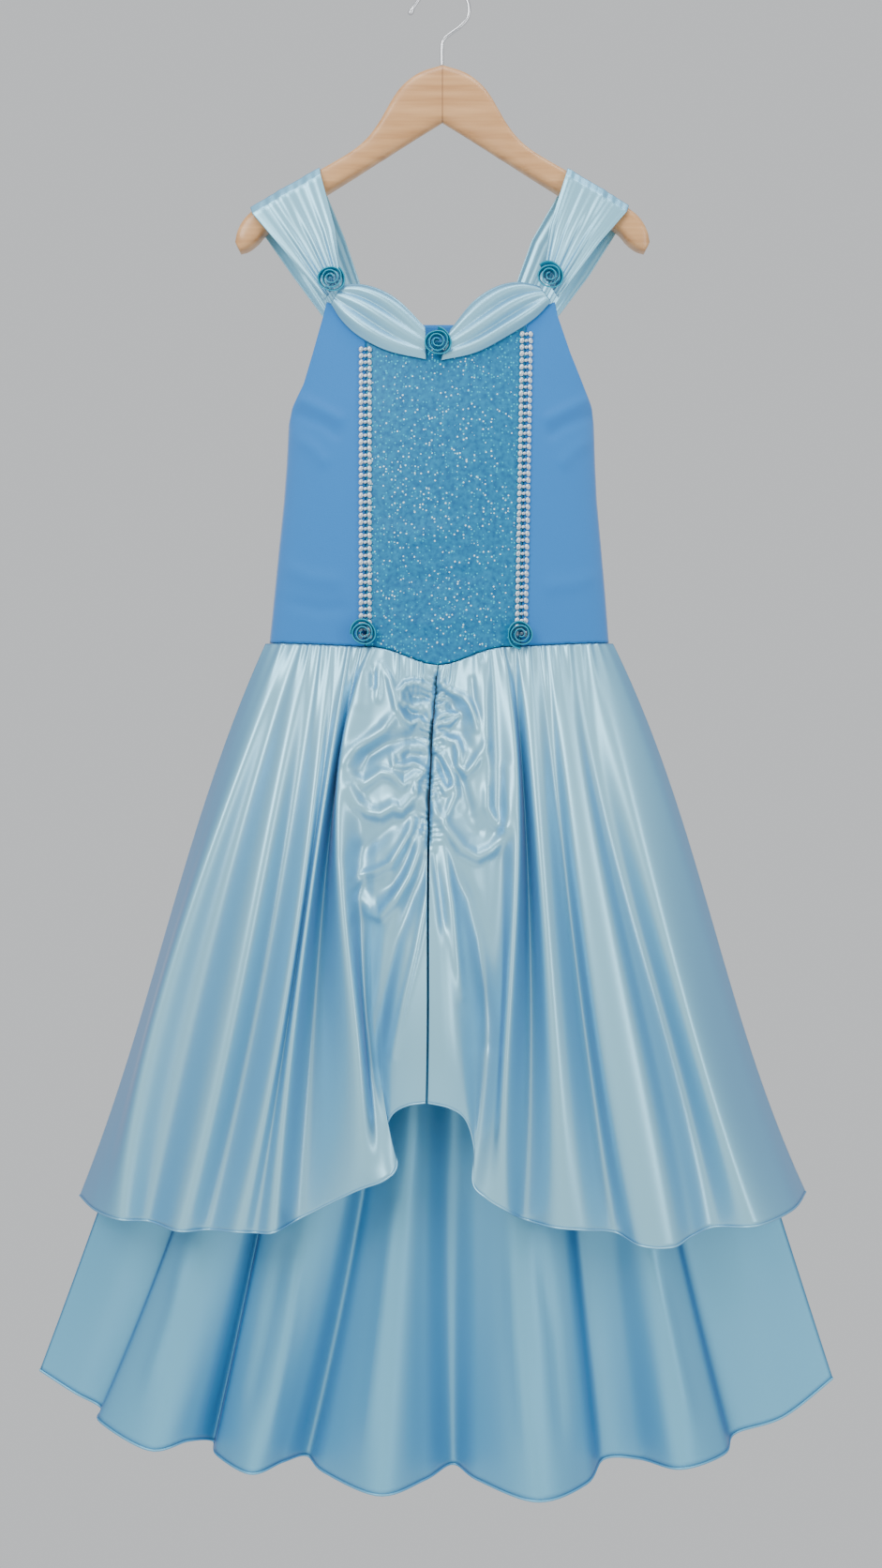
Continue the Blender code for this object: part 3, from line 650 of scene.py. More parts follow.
@dataclass
class Bodice:
    """The fitted top: glitter centre, knit sides, plain back."""

    back_depth: float = 20.5
    back_top: float = -287.0
    braid_top_x: tuple[float, float] = (-63.5, 72.0)
    braid_low_x: tuple[float, float] = (-63.5, 67.0)
    levels: tuple[tuple[float, float, float, float], ...] = (
        (-262.0, -93.0, 93.0, -25.0), (-289.0, -99.4, 98.5, -27.0),
        (-319.0, -108.0, 109.0, -29.0), (-345.0, -116.0, 120.0, -30.0),
        (-364.0, -126.0, 128.0, -31.0), (-379.0, -129.6, 130.0, -31.5),
        (-411.0, -131.2, 131.0, -32.0), (-442.0, -133.5, 132.5, -32.0),
        (-480.0, -137.5, 136.0, -31.5), (-520.0, -141.5, 139.5, -31.0),
        (-559.0, -145.5, 142.5, -30.0), (-590.0, -148.0, 145.0, -30.0),
    )
    side_creases: tuple[Crease, ...] = (
        Crease(1.6, 5.0, ((322, 425), (345, 437), (372, 452)), 1.0, 0.0),
        Crease(-1.3, 5.0, ((318, 440), (344, 452), (368, 470)), 1.0, 0.0),
        Crease(1.2, 6.0, ((312, 462), (334, 478), (352, 500)), 0.6, 0.0),
        Crease(1.6, 5.0, ((624, 425), (602, 437), (574, 452)), 1.0, 0.0),
        Crease(-1.3, 5.0, ((628, 442), (604, 452), (578, 470)), 1.0, 0.0),
        Crease(1.2, 6.0, ((631, 466), (612, 480), (594, 502)), 0.6, 0.0),
        Crease(1.1, 7.0, ((296, 600), (330, 616), (372, 622)), 0.3, 0.0),
        Crease(1.1, 7.0, ((642, 610), (612, 622), (572, 626)), 0.3, 0.0),
        Crease(-0.9, 6.0, ((300, 640), (340, 650), (380, 648)), 0.4, 0.2),
    )
    front_creases: tuple[Crease, ...] = (
        Crease(0.9, 8.0, ((400, 560), (440, 574), (500, 560)), 0.0, 0.0),
        Crease(-0.7, 7.0, ((405, 610), (460, 622), (540, 606)), 0.0, 0.0),
        Crease(0.8, 7.0, ((400, 650), (450, 668), (548, 650)), 0.1, 0.1),
    )

    def edge(self, side: int, z: Array) -> Array:
        """Left (1) or right (2) edge of the bodice at heights."""
        return table_columns(self.levels, z, side)

    def front_y(self, x: Array, z: Array) -> Array:
        """Depth of the bodice front at places."""
        depth = table_columns(self.levels, z, 3)
        girth = np.minimum(z, UNDERARM_Z)
        return -SIDE_GAP + (depth + SIDE_GAP) * self.rounding(x, girth)

    def rounding(self, x: Array, z: Array) -> Array:
        """Depth share of the flattened tube at places."""
        left, right = self.edge(1, z), self.edge(2, z)
        across = np.clip(np.abs(x - (left + right) / 2.0) / ((right - left) / 2.0), 0.0, 1.0)
        return np.sqrt(np.maximum(0.0, 1.0 - across ** ROUNDNESS))

    def neck_z(self, x: Array) -> Array:
        """Height of the top edge under the drapes."""
        away = np.abs(x)
        middle = mix(NECK_CENTRE_Z, NECK_SIDE_Z, np.clip(away / 65.0, 0, 1) ** 1.3)
        outer = mix(NECK_SIDE_Z, APEX_Z, np.clip((away - 65.0) / 30.0, 0, 1))
        return np.where(away > 65.0, outer, middle)

    def braid_x(self, side: int, z: Array) -> Array:
        """Middle of a braid at heights."""
        share = np.clip((z - NECK_SIDE_Z) / (WAIST_BRAID_Z - NECK_SIDE_Z), 0, 1)
        return mix(self.braid_top_x[side], self.braid_low_x[side], share)

    def panel(self, left: Callable[[Array], Array], right: Callable[[Array], Array],
              creases: Sequence[Crease]) -> Surface:
        """Surface of a front panel between two edges.

        Args:
            left: gives the left edge at heights.
            right: gives the right edge at heights.
            creases: creases laid over it.

        Returns:
            The surface.
        """

        def surface(u: Array, v: Array) -> Array:
            """Place shares on the panel."""
            top = np.full(u.shape, APEX_Z)
            low = np.full(u.shape, WAIST_SIDE_Z)
            top_x = mix(left(top), right(top), u)
            low_x = mix(left(low), right(low), u)
            z = mix(self.neck_z(top_x), waist_z(low_x), v)
            x = mix(left(z), right(z), u)
            edge = np.minimum(np.minimum(v, 1.0 - v) * 12.0, 1.0)
            y = self.front_y(x, z) - lift_all(creases, x, z, BODICE_CREASE_Y) * edge
            return np.stack([x, y, z], axis=1)

        return surface

    def back_surface(self, u: Array, v: Array) -> Array:
        """The plain back with soft creases across the waist."""
        bottom = mix(WAIST_SIDE_Z, WAIST_BRAID_Z, smooth(1.0 - np.abs(2.0 * u - 1.0)))
        z = mix(self.back_top, bottom, v)
        x = mix(self.edge(1, z), self.edge(2, z), u)
        depth = self.rounding(x, np.minimum(z, UNDERARM_Z))
        wave = 0.9 * np.sin(v * 21.0 + 1.6 * np.sin(u * 5.0)) * smooth((v - 0.45) * 3.0)
        wave = wave * np.sin(math.pi * u) * smooth((1.0 - v) * 9.0)
        y = SIDE_GAP + (self.back_depth - SIDE_GAP) * depth + wave
        return np.stack([x, y, z], axis=1)

    def build(self, maker: Maker) -> None:
        """Make the panels.

        Args:
            maker: makes the pieces.
        """
        gap = SEAM_GAP / 2.0
        centre = maker.shell("bodice_glitter_panel", 60, 120, self.panel(
            lambda z: self.braid_x(0, z) + gap, lambda z: self.braid_x(1, z) - gap,
            self.front_creases), GLITTER, "bodice_front_centre")
        left = maker.shell("bodice_knit_left", 50, 120, self.panel(
            lambda z: self.edge(1, z), lambda z: self.braid_x(0, z) - gap,
            self.side_creases), KNIT, "bodice_side_left")
        right = maker.shell("bodice_knit_right", 50, 120, self.panel(
            lambda z: self.braid_x(1, z) + gap, lambda z: self.edge(2, z),
            self.side_creases), KNIT, "bodice_side_right")
        back = maker.shell("bodice_knit_back", 70, 90, self.back_surface, KNIT, "bodice_back")


def waist_z(x: Array) -> Array:
    """Height of the waist seam, a gentle V at the centre front."""
    away = np.abs(x - CENTRE_X)
    near = smooth(1.0 - away / 65.0)
    edge = mix(WAIST_BRAID_Z, WAIST_SIDE_Z, np.clip((away - 65.0) / 80.0, 0, 1))
    return mix(edge, WAIST_CENTRE_Z, near ** 1.4)


@dataclass
class Trim:
    """Drapes, straps, braids and roses of the bodice."""

    bodice: Bodice
    drapes: tuple[tuple[tuple[float, ...], ...], ...] = (
        ((0.0, -83.0, -263.0, -92.5, -279.0), (0.25, -66.7, -263.2, -83.0, -294.0),
         (0.5, -49.5, -268.7, -68.0, -308.0), (0.75, -33.0, -279.7, -44.0, -320.5),
         (1.0, -13.0, -301.0, -12.6, -327.6)),
        ((0.0, 82.0, -264.0, 92.5, -277.0), (0.25, 65.0, -261.3, 79.0, -291.5),
         (0.5, 46.3, -265.6, 60.0, -305.0), (0.75, 26.7, -278.9, 30.0, -321.5),
         (1.0, 7.9, -302.5, 0.0, -328.4)),
    )
    straps: tuple[tuple[tuple[float, ...], ...], ...] = (
        ((0.0, -98.0, -274.5, -84.0, -256.0, -18.6), (0.22, -130.0, -236.0, -90.0, -212.0, -16.5),
         (0.44, -159.5, -201.0, -101.8, -168.0, -14.8),
         (0.47, -161.5, -194.6, -103.0, -161.0, -10.5),
         (0.5, -162.4, -192.3, -103.2, -158.6, 0.0),
         (0.53, -161.5, -194.6, -103.0, -161.0, 10.5),
         (0.56, -159.5, -201.0, -101.8, -168.0, 14.8), (0.78, -126.0, -248.0, -83.0, -213.0, 18.5),
         (1.0, -97.5, -286.4, -58.0, -286.4, 17.0)),
        ((0.0, 99.0, -273.0, 86.0, -254.0, -18.6), (0.22, 134.0, -226.0, 92.0, -211.0, -16.5),
         (0.44, 157.1, -199.2, 105.5, -168.3, -14.8), (0.47, 159.2, -193.0, 107.4, -161.4, -10.5),
         (0.5, 160.0, -190.6, 108.0, -158.8, 0.0), (0.53, 159.2, -193.0, 107.4, -161.4, 10.5),
         (0.56, 157.1, -199.2, 105.5, -168.3, 14.8), (0.78, 127.8, -245.0, 78.5, -214.0, 18.5),
         (1.0, 96.5, -286.4, 52.6, -286.4, 17.0)),
    )
    roses: tuple[tuple[str, float, float, float, float, float], ...] = (
        ("rose_shoulder_left", -92.6, -258.5, -24.1, 12.5, 0.3),
        ("rose_shoulder_right", 91.5, -256.0, -21.9, 12.5, 1.7),
        ("rose_neck", -3.0, -314.0, -34.0, 12.5, 0.9),
        ("rose_waist_left", -65.0, -557.0, -32.4, 12.0, 2.6),
        ("rose_waist_right", 66.6, -558.0, -32.0, 12.0, 4.1),
    )

    def drape_surface(self, side: int) -> Surface:
        """Surface of a swag with rolled folds along it."""
        table = self.drapes[side]

        def surface(u: Array, v: Array) -> Array:
            """Place shares on the swag."""
            top_x, top_z, low_x, low_z = (
                smooth_column(table, u, k) for k in range(1, 5))
            x = mix(top_x, low_x, v)
            z = mix(top_z, low_z, v)
            swell = mix(0.15, 1.0, np.sin(math.pi * u))
            wander = 0.9 * np.sin(u * 4.2 + side) * np.sin(math.pi * v)
            fold = np.abs(np.sin(math.pi * 3.0 * v + 0.5 * wander)) ** 1.3
            lift = 4.2 * swell * fold + 1.5 * np.sin(math.pi * v)
            lift = lift * mix(1.0, 1.25, smooth((v - 0.66) * 6.0)) * smooth(v * 18.0)
            y = self.bodice.front_y(x, z) - DRAPE_STAND - lift
            return np.stack([x, y, z], axis=1)

        return surface

    def strap_surface(self, side: int) -> Surface:
        """Surface of a strap with folds that run out from its rose."""
        table = self.straps[side]

        def surface(u: Array, v: Array) -> Array:
            """Place shares on the strap."""
            places = np.array([row[0] for row in table])
            place = np.interp(v, np.linspace(0.0, 1.0, len(table)), places)
            ox, oz, ix, iz, y = (np.interp(place, places, [row[k] for row in table])
                                 for k in range(1, 6))
            x, z = mix(ox, ix, u), mix(oz, iz, u)
            fade = mix(1.0, 0.35, smooth(place / 0.42))
            fade = np.where(place > 0.5, mix(0.35, 0.8, smooth((place - 0.6) / 0.4)), fade)
            fold = 0.5 + 0.5 * np.sin(2 * math.pi * (3.6 * u + 0.35 * np.sin(3.0 * u + side)))
            fold = fold + 0.35 * np.sin(2 * math.pi * (7.4 * u + 0.3))
            roll = 1.6 * np.exp(-(((u - 0.42) / 0.07) ** 2)) * smooth((place - 0.25) / 0.15)
            lift = (2.0 * fold * fade + roll) * np.where(place < 0.5, 1.0, 0.7)
            lift = np.maximum(lift, 0.0) * smooth(np.minimum(u, 1.0 - u) * 14.0)
            level = np.clip(1.0 - np.abs(place - 0.5) / 0.05, 0.0, 1.0)
            face = np.where(place < 0.5, -1.0, 1.0)
            return np.stack([x, y + face * lift * (1.0 - level), z + 0.5 * lift * level], axis=1)

        return surface

    def rose_surface(self, x: float, z: float, back: float, radius: float,
                     turn: float) -> Surface:
        """Surface of a rolled ribbon, its edge opening outwards."""

        def surface(u: Array, v: Array) -> Array:
            """Place shares on the rolled ribbon."""
            angle = u * 3.1 * 2.0 * math.pi + turn
            petal = 1.0 + 0.07 * u * np.sin(2.5 * angle)
            reach = mix(1.6, radius - 0.9, u ** 0.9) * petal
            flare = reach * mix(0.86, 1.04, v ** 1.5) + 0.3
            height = 6.6 * v * mix(1.0, 0.62, u ** 1.5)
            height = height + 0.5 * v * np.sin(3.0 * angle)
            return np.stack([x + flare * np.cos(angle), back - height,
                             z + flare * np.sin(angle)], axis=1)

        return surface

    def braid(self, maker: Maker, side: int, name: str, node: str, top: float) -> None:
        """A braid of small loops with a bead row down its middle.

        Args:
            maker: makes the pieces.
            side: 0 left, 1 right.
            name: name of the piece.
            node: the node it stands for.
            top: height of its top end.
        """
        bm = bmesh.new()
        pitch = 5.6
        count = int((top - WAIST_BRAID_Z - 3.0) / pitch)
        for index in range(count):
            z = top - pitch * (index + 0.5)
            middle = float(self.bodice.braid_x(side, np.array([z]))[0])
            for off, long, tall in ((-3.6, 2.0, 2.4), (0.0, 1.7, 1.3), (3.6, 2.0, 2.4)):
                x = middle + off
                y = float(self.bodice.front_y(np.array([x]), np.array([z]))[0]) - 1.7
                made = bmesh.ops.create_uvsphere(bm, u_segments=10, v_segments=7, radius=MM)
                lean = 0.35 if off < 0 else -0.35
                for vert in made["verts"]:
                    a, b, c = vert.co
                    a, c = a * long, c * tall
                    vert.co = Vector((x * MM + a + c * lean, y * MM + b * 1.05,
                                      z * MM + c - a * lean))
        maker.hand_over(maker.mesh(name, bm), SILVER, node)

    def build(self, maker: Maker) -> None:
        """Make the trim.

        Args:
            maker: makes the pieces.
        """
        for side, word in enumerate(("left", "right")):
            drape = maker.shell(f"swag_{word}", 80, 50, self.drape_surface(side),
                                BRIGHT, f"neck_drape_{word}")
            strap = maker.shell(f"shoulder_band_{word}", 72, 96, self.strap_surface(side),
                                BRIGHT, f"strap_{word}")
            self.braid(maker, side, f"silver_braid_{word}", f"braid_{word}",
                       (-315.5, -302.5)[side])
        for name, x, z, back, radius, turn in self.roses:
            rose = maker.shell(f"{name}_roll", 150, 10,
                               self.rose_surface(x, z, back, radius, turn), RIBBON, name,
                               thickness=0.8)


@dataclass
class SkirtFront:
    """A skirt front made from a table of fold lines."""

    levels: tuple[float, ...]
    table: tuple[tuple[float, ...], ...]
    first_x: float
    last_x: float
    inset: float
    bodice: Bodice

    def ribs(self) -> Array:
        """Waist, low and hem points of every fold line."""
        count = len(self.table) - 1
        depth = len(self.levels) - 1
        out = []
        for index, row in enumerate(self.table):
            waist_x = mix(self.first_x, self.last_x, index / count)
            top = float(waist_z(np.array([waist_x]))[0]) - SEAM_GAP
            held = min(145.0, max(-147.5, waist_x))
            front = float(self.bodice.front_y(np.array([held]), np.array([top]))[0])
            y = min(0.0, front + self.inset)
            if index == 0 or row[2 * depth] == 0.0:
                y = 0.0
            xs = (waist_x, *row[:depth])
            ys = (y, *row[depth + 1:])
            out.append([xs, ys, (top, row[depth])])
        self.xs = np.array([r[0] for r in out])
        self.ys = np.array([r[1] for r in out])
        self.zs = np.array([r[2] for r in out])
        return self.xs

    def weights(self, place: Array) -> Array:
        """Weight of every level at places down the skirt."""
        out = []
        for i, level in enumerate(self.levels):
            weight = np.ones(place.shape)
            for j, other in enumerate(self.levels):
                if j != i:
                    weight = weight * (place - other) / (level - other)
            out.append(weight)
        return np.stack(out, axis=1)

    def points(self, u: Array, place: Array) -> Array:
        """Points between the fold lines.

        Args:
            u: share across, from the first to the last line.
            place: share down.

        Returns:
            The points.
        """
        self.ribs()
        count = len(self.table) - 1
        along = np.clip(u, 0.0, 1.0) * count
        index = np.minimum(along.astype(int), count - 1)
        share = (along - index)[:, None]
        weight = self.weights(place)
        found = []
        for step in (-1, 0, 1, 2):
            pick = np.clip(index + step, 0, count)
            x = (self.xs[pick] * weight).sum(axis=1)
            y = np.minimum((self.ys[pick] * weight).sum(axis=1), 0.0) - SIDE_GAP
            z = mix(self.zs[pick][:, 0], self.zs[pick][:, 1], place)
            found.append(np.stack([x, y, z], axis=1))
        return catmull(*found, share)


def smooth_column(table: Sequence[tuple[float, ...]], key: Array, column: int) -> Array:
    """Read a column of a table as a smooth curve."""
    rows = resample(table, 8)
    return np.interp(key, rows[:, 0], rows[:, column])


LEFT_CREASES: tuple[Crease, ...] = (
    Crease(4.0, 3.0, ((458, 733), (448, 727), (441, 725.7), (432, 727.8), (425.4, 735), (427, 746),
                      (437, 753), (447, 757)), 0.6, 0.3),
    Crease(-5.0, 4.5, ((452, 742), (440, 741), (434, 742)), 0.8, 0.2),
    Crease(4.0, 3.0, ((405.5, 705), (414.7, 722.7), (421.8, 751), (430, 765.5), (438, 771),
                      (446, 764.5), (452.4, 776.7), (458.6, 777.8)), 0.3, 0.5),
    Crease(-4.5, 4.0, ((430, 750), (438, 759), (450, 762)), 0.4, 0.8),
    Crease(5.5, 5.0, ((421.8, 759.4), (407.5, 777.8), (391, 789), (376, 800), (367.8, 812.4)), 0.4, 0.4),
    Crease(-6.5, 6.5, ((456.5, 783), (430, 787), (411.6, 794), (392, 806), (381, 822)), 0.6, 0.6),
    Crease(5.0, 4.5, ((376, 826), (387, 837), (405.5, 823.7), (416.7, 825.7), (430, 837),
                      (442, 826.7), (452.4, 821.6)), 0.5, 0.6),
    Crease(3.5, 2.6, ((417, 803), (419.8, 816.5), (432, 816.5), (440, 814), (451.4, 817)), 0.4, 0.8),
    Crease(-4.5, 4.0, ((452, 806), (436, 804), (426, 809)), 0.8, 0.2),
    Crease(3.0, 2.6, ((452.4, 822.6), (444.3, 832.9), (443.3, 849)), 0.6, 0.3),
    Crease(6.0, 5.5, ((372.5, 840), (381.2, 857), (392, 866), (405, 868), (418, 860.6), (427.9, 864),
                      (434.4, 856), (442, 841)), 0.6, 0.5),
    Crease(-4.5, 8.0, ((440, 869), (420, 880), (395, 900), (375, 915)), 0.7, 0.4),
    Crease(4.5, 3.6, ((440, 873), (437.6, 885.6), (428, 902), (416, 921), (400.7, 929), (386.6, 933),
                      (378, 944)), 0.5, 0.6),
    Crease(-5.0, 5.5, ((449, 876), (444, 896), (434, 920), (420, 942), (402, 955)), 0.8, 0.2),
    Crease(6.5, 4.6, ((455, 884.5), (446, 894), (444, 909), (435.4, 934), (420, 959), (405, 975.6),
                      (394, 972), (386.6, 959)), 0.6, 0.5),
    Crease(-7.0, 6.5, ((455, 918), (440, 956), (424, 1000), (412, 1060), (400, 1130)), 0.4, 0.2),
    Crease(3.5, 3.0, ((458, 909), (458, 932), (451.7, 970), (444, 1010), (432, 1060), (420, 1120)), 0.8, 0.4),
    Crease(2.5, 8.0, ((386, 700), (383, 730), (381, 762)), 0.2, 0.2),
    Crease(2.5, 3.0, ((402, 706), (402, 730), (400, 752)), 0.2, 0.0),
    Crease(-3.0, 3.4, ((397, 712), (397, 735)), 0.5, 0.0),
)
RIGHT_CREASES: tuple[Crease, ...] = (
    Crease(4.0, 3.0, ((458, 733), (464, 728), (470, 726), (477.5, 734), (493.8, 742), (501, 750),
                      (506, 761), (509, 777)), 0.6, 0.4),
    Crease(-5.5, 7.0, ((466, 738), (480, 748), (490, 762), (496, 778)), 0.6, 0.5),
    Crease(3.5, 2.6, ((461, 768.6), (475.4, 760), (487.7, 761.4), (479.5, 769.6), (462, 771.6)), 0.7, 0.7),
    Crease(3.2, 2.6, ((458, 745), (468, 741), (475, 744), (473, 752), (461, 752)), 0.5, 0.5),
    Crease(4.5, 3.6, ((462, 776), (475.4, 787), (486.6, 790), (489.7, 802), (488.7, 816.5),
                      (496.8, 824.7), (506, 814.5), (518, 794)), 0.7, 0.4),
    Crease(-4.0, 6.0, ((472, 778), (490, 782), (502, 800)), 0.5, 0.6),
    Crease(4.0, 3.0, ((459, 783), (461, 796), (471.3, 806.3), (484.6, 829.8), (483.6, 838),
                      (475.4, 844), (470.3, 834.9), (465, 822.7)), 0.7, 0.4),
    Crease(-4.5, 5.0, ((463, 800), (472, 818), (476, 832)), 0.5, 0.5),
    Crease(-4.0, 5.0, ((485.6, 815.5), (493.8, 838), (503, 870)), 0.5, 0.3),
    Crease(5.5, 5.0, ((456.6, 845), (461.5, 859.5), (476.7, 883.4), (493, 905), (509, 913.8),
                      (524.4, 906), (535, 894), (539.6, 881), (541.8, 861.7), (540.7, 820)), 0.7, 0.3),
    Crease(-5.0, 9.0, ((490, 860), (505, 885), (520, 890)), 0.4, 0.4),
    Crease(3.5, 3.4, ((487.5, 840), (480, 859.5), (475.6, 872)), 0.4, 0.6),
    Crease(3.5, 4.0, ((520, 830), (520, 861.7), (528.8, 878), (538.5, 883)), 0.3, 0.6),
    Crease(4.0, 3.6, ((470, 892), (472.4, 900.7), (477.8, 926.8), (482, 964.7), (486.5, 1010),
                      (492, 1060)), 0.4, 0.3),
    Crease(-6.5, 7.0, ((474, 905), (484, 930), (498.4, 959), (508, 1003), (516, 1060), (520, 1110)), 0.4, 0.3),
    Crease(-4.0, 3.6, ((463, 912), (468, 950), (474, 1000)), 0.6, 0.2),
    Crease(3.0, 4.0, ((516, 705), (518, 731), (519, 782), (520, 802), (523, 833)), 0.5, 0.3),
    Crease(-2.5, 3.0, ((504, 722), (506, 747), (512, 770)), 0.6, 0.2),
)


@dataclass
class Overskirt:
    """The bright satin skirt, gathered at the waist and drawn up in front."""

    bodice: Bodice
    waist: tuple[float, float] = (-149.5, 146.5)
    levels: tuple[float, ...] = (0.0, 0.36, 0.76, 1.0)

    def fronts(self) -> tuple[SkirtFront, SkirtFront]:
        """The two fronts as fold lines from side seam to centre seam."""
        gap = SEAM_GAP / 2.0
        return (
            SkirtFront(self.levels, OVERSKIRT_LEFT, self.waist[0], CENTRE_X - gap, 0.0,
                       self.bodice),
            SkirtFront(self.levels, OVERSKIRT_RIGHT, self.waist[1], CENTRE_X + gap, 0.0,
                       self.bodice),
        )

    def front_surface(self, front: SkirtFront, creases: Sequence[Crease], seed: int) -> Surface:
        """Surface of a front with gathers, tucks and creases.

        Args:
            front: its fold lines.
            creases: creases of the ruched part.
            seed: start of the uneven gathers.

        Returns:
            The surface.
        """

        def surface(u: Array, v: Array) -> Array:
            """Place shares on the front."""
            place = np.where(v < 0.6, v * 0.44 / 0.6, 0.44 + (v - 0.6) * 1.4)
            points = front.points(u, place)
            x, z = points[:, 0], points[:, 2]
            lift = lift_all(creases, x, z, OVERSKIRT_CREASE_Y)
            lift = lift * smooth(place * 30.0) + gathers(u, place, 20, seed, 2.3)
            lift = lift + seam_tucks(u, place, seed)
            lift = lift * smooth(u * 16.0)
            points[:, 1] = points[:, 1] - lift
            return points

        return surface

    def build(self, maker: Maker) -> None:
        """Make the two fronts and the back with their hems.

        Args:
            maker: makes the pieces.
        """
        left, right = self.fronts()
        for front, creases, word, seed in ((left, LEFT_CREASES, "left", 3),
                                           (right, RIGHT_CREASES, "right", 8)):
            surface = self.front_surface(front, creases, seed)
            item = maker.shell(f"overskirt_satin_{word}", 170, 200, surface, BRIGHT,
                               f"overskirt_front_{word}")
            hem = hem_roll(maker, f"overskirt_hem_{word}", surface, 0.9, BRIGHT)
        back = back_surface(left, right, (24.0, 40.0), 7, 13.0, 10.0)
        item = maker.shell("overskirt_satin_back", 150, 90, back, BRIGHT, "overskirt_back")
        hem = hem_roll(maker, "overskirt_hem_back", back, 0.9, BRIGHT)


def gathers(u: Array, place: Array, count: int, seed: int, height: float) -> Array:
    """Uneven puckers that fade down from the waist.

    Args:
        u: share across.
        place: share down.
        count: how many puckers.
        seed: start of their unevenness.
        height: height of the largest in millimetres.

    Returns:
        The lift.
    """
    wander = 0.35 * np.sin(u * 9.0 + seed) + 0.22 * np.sin(u * 23.0 + 2.0 * seed)
    phase = count * u + wander
    wave = 0.5 + 0.5 * np.cos(2.0 * math.pi * phase)
    size = 0.65 + 0.35 * np.sin(np.floor(phase + 0.5) * 2.4 + seed)
    long = mix(0.035, 0.1, 0.5 + 0.5 * np.sin(np.floor(phase + 0.5) * 1.7 + seed))
    return height * wave ** 1.5 * size * np.exp(-place / long)


def seam_tucks(u: Array, place: Array, seed: int) -> Array:
    """Tight tucks along the ruched centre seam.

    Args:
        u: share across, 1 at the seam.
        place: share down.
        seed: start of their unevenness.

    Returns:
        The lift.
    """
    near = np.clip((u - 0.9) / 0.1, 0.0, 1.0)
    phase = place * TUCK_PITCHES + 0.8 * np.sin(place * 60.0 + seed) + (1.0 - u) * 9.0
    wave = np.sin(2.0 * math.pi * phase * 0.9)
    band = smooth(place * 40.0) * (1.0 - smooth((place - 0.4) / 0.05))
    tuck = 1.9 * wave * band * near ** 1.2 * (1.0 - 0.3 * near)
    return tuck - 3.5 * band * np.clip((u - 0.975) / 0.025, 0, 1)


def hem_roll(maker: Maker, name: str, surface: Surface, radius: float,
             finish: Finish) -> bpy.types.Object:
    """A narrow rolled hem along the lower edge of a surface.

    Args:
        maker: makes the pieces.
        name: name of the piece.
        surface: the surface above it.
        radius: radius of the roll.
        finish: finish of the cloth.

    Returns:
        The piece.
    """
    u = np.linspace(0.0, 1.0, HEM_STEPS)
    points = surface(u, np.full(u.shape, 1.0))
    return maker.tube(name, points, radius, finish)


def back_surface(left: SkirtFront, right: SkirtFront, depths: tuple[float, float],
                 folds: int, fold_depth: float, drop: float) -> Surface:
    """Surface of a skirt back between its side seams.

    Args:
        left: front with the left side seam as its first line.
        right: front with the right side seam as its first line.
        depths: depth at waist and hem.
        folds: how many folds.
        fold_depth: their depth at the hem.
        drop: how much the hem dips at the middle.

    Returns:
        The surface.
    """

    def surface(u: Array, v: Array) -> Array:
        """Place shares on the skirt back."""
        zero = np.zeros(u.shape)
        start = left.points(zero, v)
        end = right.points(zero + (1.0 if right is left else 0.0), v)
        spread = np.cos(math.pi * u)
        x = mix(start[:, 0], end[:, 0], 0.5 - 0.5 * spread * (0.55 + 0.45 * np.abs(spread)))
        z = mix(start[:, 2], end[:, 2], u) - drop * v * np.sin(math.pi * u)
        across = np.abs(2.0 * u - 1.0)
        shape = np.sqrt(np.maximum(0.0, 1.0 - across ** ROUNDNESS))
        uneven = 0.12 * np.sin(7.0 * u) * np.sin(math.pi * u)
        wave = 0.5 - 0.5 * np.cos(2.0 * math.pi * (folds * u + uneven))
        fold = fold_depth * wave * v * smooth((1.0 - across) * 5.0)
        pucker = gathers(u, v, 36, 5, 2.2) * smooth((1.0 - across) * 7.0)
        y = SIDE_GAP + mix(depths[0], depths[1], v) * shape + fold + pucker
        return np.stack([x, y, z], axis=1)

    return surface


OVERSKIRT_LEFT: tuple[tuple[float, ...], ...] = (
    (-212.0, -268.0, -308.0, -1034.0, 0.0, 0.0, 0.0),
    (-202.0, -257.0, -287.0, -1036.0, -30.0, -35.0, -48.0),
    (-190.0, -245.0, -261.5, -1037.0, -55.0, -70.0, -80.0),
    (-169.6, -216.0, -239.0, -1041.0, -47.0, -58.0, -68.0),
    (-145.0, -183.0, -211.0, -1042.0, -68.0, -90.0, -100.0),
    (-127.7, -162.6, -188.5, -1044.0, -55.0, -70.0, -85.0),
    (-110.5, -139.7, -164.0, -1041.5, -70.0, -95.0, -105.0),
    (-105.5, -132.0, -149.0, -1043.5, -64.0, -88.0, -98.0),
    (-101.0, -123.0, -133.0, -1041.0, -70.0, -95.0, -108.0),
    (-93.4, -106.0, -113.6, -1035.4, -47.0, -66.0, -80.0),
    (-84.3, -67.8, -70.0, -1011.0, -72.0, -100.0, -97.0),
    (-65.7, -60.4, -45.0, -999.7, -58.0, -76.0, -106.0),
    (-50.0, -54.0, -35.4, -988.5, -62.0, -78.0, -98.0),
    (-38.5, -48.0, -44.0, -966.0, -64.0, -84.0, -85.0),
    (-29.0, -37.8, -40.0, -950.6, -62.0, -94.0, -90.0),
    (-19.0, -25.0, -28.0, -942.0, -61.0, -98.0, -96.0),
    (-11.0, -11.5, -12.5, -939.0, -60.0, -100.0, -100.0),
)
